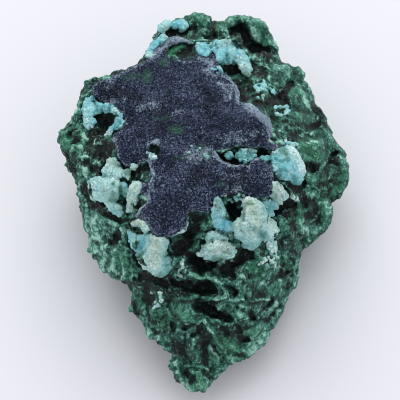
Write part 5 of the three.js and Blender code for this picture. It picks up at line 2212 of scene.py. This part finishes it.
    def mark_tones(self, obj: bpy.types.Object) -> None:
        """Stores where the malachite is dark, pale, vivid or dusty, with painted shade in its hollows and
        cuts and painted highlights on its crests and up-turned facets.

        Args:
            obj: The body.
        """
        skin = Skin(obj)
        facing = skin.facing(-0.3, 0.2)
        rough = 0.4 + 0.6 * self.roughness(skin, facing)
        fine, wide = relief(obj, 4), relief(obj, 30)
        wander = skin.noise(*self.wander)
        skin.stray(*self.stray)
        cut = facing * skin.drawn(CUTS, 2.0 * wander, 0.75, 1.45)
        dark = facing * skin.drawn(DARKS, 1.5 * wander, 0.3, 1.4)
        lights = facing * skin.drawn(LIGHTS, 1.3 * wander, 0.5, 1.35)
        vivid = facing * skin.drawn(GREENS, 1.5 * wander, 0.2, 1.4)
        # Painted shade: concave places and cuts are marked dark, together with the malachite's own dark
        # patches.
        hollow = 0.85 * smooth_step(-0.2, -0.7, wide) + 0.5 * smooth_step(-0.05, -0.2, fine)
        hollow = np.maximum(hollow, smooth_step(0.1, 0.5, cut) * np.minimum(1.0, 0.45 + 0.6 * cut))
        hollow = np.maximum(hollow, 0.7 * dark * smooth_step(0.1, 0.7, dark + skin.noise((0.9, 0.6, 47))))
        dust = 0.4 * smooth_step(0.4, 0.8, skin.noise((1.6, 1.0, 45))) * (1 - dark)
        powder = smooth_step(0.6, 1.0, lights) + dust
        mark(
            obj,
            # Painted highlight on raised places and ridges.
            crest=0.45 * smooth_step(-0.06, 0.1, fine) + 0.55 * smooth_step(-0.3, 0.45, wide),
            # Darker in dark patches and painted shade, paler along pale streaks and painted highlights, with
            # painted light on up-turned facets.
            tone=0.57 - 0.7 * dark + skin.noise((5.0, 0.14, 42)) + 0.45 * lights + rough * self.mottle(skin),
            hollow=np.clip(hollow, 0, 1),
            vivid=np.clip(vivid, 0, 1),
            pale=np.clip(powder * (0.75 + skin.noise((0.6, 0.9, 46))), 0, 1),
        )

    def mottle(self, skin: Skin) -> np.ndarray:
        """Lighter and darker fibres, chips and grains, and painted light on facets that face up.

        Args:
            skin: The vertices.

        Returns:
            What is added to the tone at each vertex.
        """
        warped, upward = self.warped(skin), skin.normals @ UP
        total = 0.25 * fibres(skin, 2.6, 0.42, 90) + 0.12 * (cells(skin.place, 0.55, 44).name - 0.5)
        for chip, share in ((self.chips, 0.35), (self.small, 0.22)):
            total += share * (cells(warped, chip.length, chip.seed).name - 0.5)
        # Painted light: facets that turn up more than their surroundings are paler.
        total += 0.45 * (upward - neighbour_mean(skin.obj, upward, 25))
        return total + skin.noise((1.9, 0.22, 43))


@dataclass
class Slab:
    """A plate that lies on the stone's face with its own edge."""

    name: str
    edge: np.ndarray
    lift: float
    thickness: float = 2.4
    voxel: float = 0.2
    edge_drop: float = 0.5
    edge_width: float = 1.1
    bumps: tuple = ((3.2, 0.22, 51), (1.2, 0.14, 52))
    hole_drop: float = 1.7

    def build(self, ground: FaceMap) -> bpy.types.Object:
        """Makes the plate.

        Args:
            ground: The stone's height under the plate.

        Returns:
            The plate, undressed.
        """
        deselect()
        bpy.ops.mesh.primitive_circle_add(vertices=len(self.edge), radius=1, fill_type="NGON")
        obj = bpy.context.object
        obj.name = self.name
        set_points(obj, flat(*self.edge.T) * MM)
        modified(obj, "wall", "SOLIDIFY", thickness=self.thickness * MM, offset=-1)
        remeshed(obj, self.voxel, 2)
        a, b, t = (points_of(obj) / MM).T
        c = self.top(ground, a, b) + t - t.max() - self.hole_drop * self.thickness * self.hole(a, b)
        set_points(obj, world(a, b, c))
        return obj

    def hole(self, a: np.ndarray, b: np.ndarray) -> np.ndarray:
        """1 inside the plate's holes, 0 outside them."""
        return in_crust_hole(a, b, soft_noise(flat(a, b), 0.8, 53))

    def top(self, ground: FaceMap, a: np.ndarray, b: np.ndarray) -> np.ndarray:
        """Height of the plate's top, with its bumps and its rounded edge.

        Args:
            ground: The stone's height under the plate.
            a: Places across.
            b: Places up.

        Returns:
            One height for each place, in millimetres.
        """
        inward = np.clip(edge_distance(a, b, self.edge) / self.edge_width, 0, 1)
        rounding = self.edge_drop * (1 - inward) ** 2
        return ground.at(a, b) + self.lift - rounding + noise_sum(flat(a, b), *self.bumps)


@dataclass
class AzuriteCrust:
    """The velvety blue crust and the tiny crystals that stand on it."""

    material: bpy.types.Material
    ground: FaceMap
    lift: float = 0.25
    fray: float = 0.2
    fray_step: float = 0.35
    spacing: float = 0.3
    row_share: float = 0.87
    scatter: float = 0.08
    missing: float = 0.12
    lean: float = 0.4
    crystal_width: float = 0.15
    crystal_height: float = 0.4
    width_range: tuple = (0.6, 1.35)
    height_range: tuple = (0.35, 1.35)
    root: float = 0.05
    base_spark: float = 0.08
    wander: tuple = ((1.8, 0.3, 62), (0.7, 0.2, 66))

    def build(self) -> list[bpy.types.Object]:
        """Makes the crust and its crystals.

        Returns:
            Both finished pieces.
        """
        slab = Slab("azurite_crust", frayed(CRUST_EDGE, self.fray_step, self.fray, 61), self.lift)
        crust = slab.build(self.ground)
        # The crust itself gets a faint, even painted glint.
        self.mark_sparks(crust, np.full(len(crust.data.vertices), self.base_spark))
        crystals = self.crystals(slab)
        return [
            finish_piece(crust, self.material),
            finish_piece(crystals, self.material, smooth=False),
        ]

    def mark_sparks(self, obj: bpy.types.Object, spark: np.ndarray) -> None:
        """Stores the crystals' painted glints, the crust's pale hazy places with their painted sheen, its
        stains and its painted shade.

        Args:
            obj: The crust or its crystals.
            spark: How bright each vertex is.
        """
        skin = Skin(obj)
        wander = skin.noise(*self.wander)
        rim = smooth_step(0.9, 0.0, edge_distance(skin.a, skin.b, CRUST_EDGE) + skin.noise((1.2, 0.5, 64)))
        mark(
            obj,
            spark=spark,
            # Pale rims and hazy places, partly painted sheen.
            haze=np.clip(skin.drawn(HAZE, wander, 0.2, 1.4) + 0.5 * rim, 0, 1),
            stain=np.clip(skin.drawn(STAINS, wander, 0.2, 1.4), 0, 1),
            # Painted shade on the azurite.
            deep=np.clip(skin.drawn(DEEPS, 1.5 * wander, 0.0, 1.7), 0, 1),
        )

    def one_crystal(self) -> Shape:
        """A short five-sided crystal with a blunt tip, one unit wide and one high.

        Returns:
            Its points and faces.
        """
        deselect()
        bpy.ops.mesh.primitive_cone_add(
            vertices=5, radius1=0.42, radius2=0.36, depth=0.8, end_fill_type="NGON", location=(0, 0, 0.2)
        )
        crystal = bpy.context.object
        edit(crystal, "DESELECT")
        bpy.ops.object.mode_set(mode="OBJECT")
        for face in crystal.data.polygons:
            face.select = face.normal.z > 0.9
        bpy.ops.object.mode_set(mode="EDIT")
        bpy.ops.mesh.poke(offset=0.25)
        bpy.ops.object.mode_set(mode="OBJECT")
        bpy.ops.object.transform_apply(location=True, rotation=True, scale=True)
        shape = triangles_of(crystal)
        bpy.data.objects.remove(crystal)
        return shape

    def planted(self, slab: Slab, rng: np.random.Generator) -> tuple[np.ndarray, np.ndarray]:
        """Where the crystals stand: offset rows, scattered a little, inside the edge and off the holes.

        Args:
            slab: The plate that they stand on.
            rng: Random numbers.

        Returns:
            The places across and up.
        """
        low, high = slab.edge.min(0), slab.edge.max(0)
        rows = np.arange(low[1], high[1], self.spacing * self.row_share)
        a, b = np.meshgrid(np.arange(low[0], high[0], self.spacing), rows)
        a = a + (np.arange(len(rows)) % 2)[:, None] * self.spacing / 2
        a = a.ravel() + rng.normal(0, self.scatter, a.size)
        b = b.ravel() + rng.normal(0, self.scatter, b.size)
        keep = (edge_distance(a, b, slab.edge) > 0.02) & (slab.hole(a, b) < 0.4)
        keep &= rng.uniform(0, 1, a.size) > self.missing
        return a[keep], b[keep]

    def crystals(self, slab: Slab) -> bpy.types.Object:
        """Thousands of crystals on the slab, as one mesh.

        Args:
            slab: The plate that they stand on.

        Returns:
            The new object.
        """
        rng = np.random.default_rng(7)
        a, b = self.planted(slab, rng)
        slope_a = self.ground.at(a + 0.5, b) - self.ground.at(a - 0.5, b)
        slope_b = self.ground.at(a, b + 0.5) - self.ground.at(a, b - 0.5)
        lean = rng.normal(0, self.lean, (a.size, 2))
        axis = np.column_stack([lean[:, 0] - slope_a, lean[:, 1] - slope_b, np.ones(a.size)])
        axis /= np.linalg.norm(axis, axis=1, keepdims=True)
        side = np.cross(axis, rng.normal(0, 1, (a.size, 3)))
        side /= np.linalg.norm(side, axis=1, keepdims=True)
        width = 2 * self.crystal_width * rng.uniform(*self.width_range, a.size)
        height = self.crystal_height * rng.uniform(*self.height_range, a.size)
        third = np.cross(axis, side)
        axes = np.stack([side * width[:, None], third * width[:, None], axis * height[:, None]], axis=1)
        shape, faces = self.one_crystal()
        roots = np.column_stack([a, b, slab.top(self.ground, a, b) - self.root])
        points = (shape @ axes + roots[:, None]).reshape(-1, 3)
        all_faces = (faces + (np.arange(a.size) * len(shape))[:, None, None]).reshape(-1, 3)
        obj = mesh_from("azurite_crystals", world(*points.T), all_faces)
        # Each crystal gets a random painted glint.
        self.mark_sparks(obj, np.repeat(rng.uniform(0, 1, a.size) ** 1.2, len(shape)))
        return obj


@dataclass
class Chrysocolla:
    """The pale blue-green seam under the crust's edge and the knobbly growths round it."""

    material: bpy.types.Material
    ground: FaceMap
    crust_ground: FaceMap
    under: Sequence[bpy.types.Object]

    seam_lift: float = -0.25
    seam_tuck: float = 0.25
    seam_unevenness: float = 1.2

    voxel: float = 0.15
    triangle_limit: int = 190000
    keep_buried: float = 0.15
    buried: float = 0.9
    fewest_in_shell: int = 60

    bead_length: float = 0.7
    bead_height: float = 0.1
    swell: Layer = (1.9, 0.12, 83)
    pinhole_length: float = 1.3
    pinhole_share: float = 0.28
    pinhole_depth: float = 0.35
    fold_depth: float = 0.6
    fold_wander: tuple = ((0.8, 0.25, 91), (0.4, 0.25, 92))
    tint_wander: tuple = ((1.2, 0.35, 88), (0.5, 0.15, 89))
    sky: tuple = (0.0, -0.25, 0.97)

    def build(self) -> list[bpy.types.Object]:
        """Makes the seam and the growths.

        Returns:
            Both finished pieces.
        """
        return [self.seam(), self.growths()]

    def seat(self, a: np.ndarray, b: np.ndarray) -> np.ndarray:
        """How far out the finished surface lies under each small crumb.

        Args:
            a: Places across.
            b: Places up.

        Returns:
            One height for each crumb.
        """
        tree, start = surface_tree(self.under), self.ground.start_out
        seats = []
        for place in world(a, b, np.full(len(a), start)):
            _, _, _, fall = tree.ray_cast(Vector(place), -Vector(OUT))
            seats.append(start - fall / MM if fall else 0.0)
        return np.maximum(np.array(seats), self.ground.at(a, b) - 1.0)

    def seam_width(self, line: np.ndarray) -> np.ndarray:
        """How far the seam shows past each place on the crust's edge.

        Args:
            line: The crust's frayed edge.

        Returns:
            One width for each place, in millimetres.
        """
        widths = np.array(SEAM_WIDTHS, float)
        gap = np.linalg.norm(line[:, None] - from_grid(widths[:, :2])[None], axis=2) ** 2 + 0.3
        width = (widths[None, :, 2] / gap**2).sum(1) / (1 / gap**2).sum(1)
        return width * smooth_step(-0.5, 0.5, soft_noise(flat(*line.T), 1.6, 65)) * self.seam_unevenness

    def seam(self) -> bpy.types.Object:
        """The thin pale plate whose edge shows past the azurite.

        Returns:
            The finished piece.
        """
        line = frayed(CRUST_EDGE, 0.35, 0.2, 63)
        out = -sideways(line)
        out[edge_distance(*(line + 0.3 * out).T, CRUST_EDGE) > 0.15] *= -1
        edge = line + out * (self.seam_width(line) - self.seam_tuck)[:, None]
        slab = Slab("chrysocolla_seam", edge, self.seam_lift, edge_drop=0.35, edge_width=0.5)
        skin = Skin(slab.build(self.crust_ground))
        mark(
            skin.obj,
            tint=np.clip(0.3 + skin.noise((3.0, 0.5, 72)), 0, 1),
            weathered=np.clip(0.4 + skin.noise((4.0, 0.4, 73)), 0, 1),
            hollow=np.clip(0.25 + skin.noise((0.7, 0.6, 74)), 0, 1),
            stain=np.clip(skin.noise((1.6, 1.0, 75)), 0, 0.6),
            crest=np.full(len(skin.a), 0.6),
            teal=np.zeros(len(skin.a)),
        )
        return finish_piece(skin.obj, self.material)

    def all_balls(self) -> tuple[np.ndarray, np.ndarray]:
        """The balls of every growth and crumb, and the tint of each.

        Returns:
            One row of (across, up, out, radius) for each ball, and its tint.
        """
        rows, kinds = [], []
        for index, growth in enumerate(GROWTHS):
            rows.append(growth.balls(self.ground, 200 + index))
            kinds += [growth.tint.value] * len(rows[-1])
        a, b, radius = placed_balls(CRUMBS)
        rows.append(np.column_stack([a, b, self.seat(a, b) + 0.25 * radius, radius]))
        kinds += [Tint.PALE.value] * len(a)
        return np.concatenate(rows), np.array(kinds)

    def growths(self) -> bpy.types.Object:
        """All the growths and crumbs as one closed skin.

        Returns:
            The finished piece.
        """
        rows, kinds = self.all_balls()
        obj = mesh_from("chrysocolla_growths", *joined(balls_at(rows, 2)))
        remeshed(obj, self.voxel, 2)
        obj.name = "chrysocolla_growths"
        skin = Skin(obj)
        holes = cells(skin.place, self.pinhole_length, 84)
        dents = (holes.name > 1 - self.pinhole_share) * smooth_step(0.22, 0.08, holes.near)
        height = self.bead_height * cells(skin.place, self.bead_length, 81).dome(0.6)
        height += 0.15 * layered_noise(skin.place, 0.8, 3, 82) + skin.noise(self.swell)
        height -= self.pinhole_depth * dents
        height -= self.fold_depth * skin.drawn(FOLDS, skin.noise(*self.fold_wander), 0.2, 1.8)
        set_points(obj, skin.raised(height))
        mark(obj, dents=dents)
        thinned(obj, skin.c < self.ground.at(skin.a, skin.b) - self.buried, self.keep_buried)
        thinned_to(obj, self.triangle_limit)
        drop_shards(obj, self.fewest_in_shell)
        self.mark_tints(obj, rows, kinds)
        return finish_piece(obj, self.material)

    def mark_tints(self, obj: bpy.types.Object, rows: np.ndarray, kinds: np.ndarray) -> None:
        """Stores each place's colour, from the growth that it belongs to, and its folds, with painted shade
        in folds, hollows, pinholes and where growths meet the stone, and painted highlights on crests that
        face up.

        Args:
            obj: The growths.
            rows: The balls that they are made of.
            kinds: Each ball's tint.
        """
        skin = Skin(obj)
        tree = KDTree(len(rows))
        for index, row in enumerate(rows):
            tree.insert(row[:3], index)
        tree.balance()
        owner = np.array([tree.find(place)[1] for place in np.column_stack([skin.a, skin.b, skin.c])])
        blue = neighbour_mean(obj, (kinds[owner] == Tint.CYAN.value).astype(float), 14)
        beige = neighbour_mean(obj, (kinds[owner] == Tint.BEIGE.value).astype(float), 14)
        top = smooth_step(0.2, 0.85, skin.normals @ np.array(self.sky))
        # Painted highlight on raised places that face up.
        lit = smooth_step(-0.02, 0.1, relief(obj, 3)) * smooth_step(-0.1, 0.8, skin.normals @ UP)
        dents = np.zeros(len(skin.a), np.float32)
        obj.data.attributes["dents"].data.foreach_get("value", dents)
        rise = skin.c - self.ground.at(skin.a, skin.b)
        # Painted shade where a growth meets the stone.
        foot = smooth_step(0.7, 0.0, rise + skin.noise((1.0, 0.5, 87)))
        wander = skin.noise(*self.tint_wander)
        drawings = (BLUES, TEALS, WHITES, WEATHERED, GROWTH_STAINS, FOLDS)
        drawn = [skin.drawn(lines, wander, 0.2, 1.5) for lines in drawings]
        bluest, greener, powdery, worn, stained, creased = drawn
        weathered = beige * top * (0.5 + skin.noise((2.0, 0.5, 86))) + 0.9 * worn
        # Painted shade in concave places, pinholes, feet and creases.
        hollow = smooth_step(-0.08, -0.3, relief(obj, 12)) + 0.6 * dents + 0.35 * foot + 0.4 * creased
        mark(
            obj,
            tint=np.clip(0.5 * blue + skin.noise((2.2, 0.3, 85)) + 0.7 * bluest - 0.5 * worn, 0, 1),
            # Painted shade: darker, greener teal on shaded sides and recesses.
            teal=np.clip(0.9 * greener, 0, 1),
            # Painted highlight and pale dusting.
            crest=np.clip(0.5 * lit + powdery, 0, 1),
            weathered=np.clip(weathered * (1 - 0.6 * bluest), 0, 1),
            hollow=np.clip(hollow, 0, 1),
            stain=stained,
        )


# ---------------------------------------------------------------- studio


@dataclass
class Studio:
    """A pale floor, soft light from above and behind, and the camera."""

    target: tuple = (-0.00076, -0.00051, 0.014)
    distance: float = 1.5
    frame_width: float = 0.072
    sensor: float = 36.0
    far_clip: float = 20.0
    floor_size: float = 6.0
    floor_finish: Finish = Finish("floor", 0.9, 0.1)
    floor_colour: Colour = (0.70, 0.705, 0.74, 1.0)
    panel_place: tuple = (-0.03, 0.46, 0.54)
    panel_size: float = 0.7
    panel_watts: float = 2.9
    panel_tint: tuple = (0.98, 1.0, 1.0)
    sky_colour: Colour = (0.97, 0.96, 1.0, 1.0)
    sky_strength: float = 1.0
    filter_width: float = 1.0

    def build(self) -> None:
        """Sets out the floor, the light, the surroundings and the camera."""
        self.floor()
        self.light()
        self.surroundings()
        self.camera()

    def floor(self) -> None:
        """A wide plain floor."""
        deselect()
        bpy.ops.mesh.primitive_plane_add(size=self.floor_size, location=(0, 0, 0))
        floor = bpy.context.object
        floor.name = "floor"
        material, nodes, shader = self.floor_finish.started()
        nodes.put(shader, Base_Color=self.floor_colour)
        floor.data.materials.append(material)

    def light(self) -> None:
        """A square light panel above and behind the stone, facing it."""
        deselect()
        bpy.ops.object.light_add(type="AREA", location=self.panel_place)
        panel = bpy.context.object
        panel.name = "sky_panel"
        panel.data.size = self.panel_size
        panel.data.energy = self.panel_watts
        panel.data.color = self.panel_tint
        away = Vector(self.panel_place) - Vector(self.target)
        panel.rotation_euler = away.to_track_quat("Z", "Y").to_euler()

    def surroundings(self) -> None:
        """Even, slightly blue light from all round, and how colours are shown."""
        sky = bpy.data.worlds.new("surroundings")
        bpy.context.scene.world = sky
        sky.use_nodes = True
        nodes = Nodes(sky.node_tree)
        nodes.put(sky.node_tree.nodes["Background"], Color=self.sky_colour, Strength=self.sky_strength)
        bpy.context.scene.view_settings.view_transform = "Standard"
        bpy.context.scene.cycles.filter_width = self.filter_width

    def camera(self) -> None:
        """Looks square on to the display face from far off."""
        deselect()
        bpy.ops.object.camera_add(location=Vector(self.target) + Vector(OUT) * self.distance)
        camera = bpy.context.object
        camera.rotation_euler = Vector(OUT).to_track_quat("Z", "Y").to_euler()
        camera.data.sensor_width = self.sensor
        camera.data.lens = self.sensor * self.distance / self.frame_width
        camera.data.clip_end = self.far_clip
        bpy.context.scene.camera = camera


@dataclass
class Grounds:
    """The stone's height without the forms that have pieces of their own, in three versions."""

    bare: FaceMap
    crust: FaceMap
    growth: FaceMap

    @classmethod
    def measured(cls) -> "Grounds":
        """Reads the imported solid: the bare malachite, the crust, and the base of the growths.

        Returns:
            The three heights.
        """
        stone = FaceMap().measure(surface_tree([frame["nodes"][NODE]]))
        a, b = stone.places()
        on_stone = stone.values > stone.outside
        inside = edge_distance(a, b, CRUST_EDGE)
        bare = on_stone & (inside < -0.3)
        for growth in GROWTHS:
            bare &= edge_distance(a, b, from_grid(growth.edge)) < -0.2
        crust, ground = stone.spread(on_stone & (inside > 0.5), 10), stone.spread(bare, 14)
        beside = np.where(inside > -0.6, crust.values - 0.5, ground.values)
        return cls(ground, crust, replace(ground, values=np.maximum(ground.values, beside)))


def main() -> None:
    """Builds each part in turn and reports it."""
    logging.basicConfig(level=logging.INFO, format="%(name)s %(message)s")
    grounds = Grounds.measured()
    body = MalachiteBody(MalachiteFinish().build(), grounds.bare).build()
    crust, _ = AzuriteCrust(AzuriteFinish().build(), grounds.crust).build()
    Chrysocolla(ChrysocollaFinish().build(), grounds.growth, grounds.crust, (body, crust)).build()
    Studio().build()


if __name__ == "__main__":
    main()
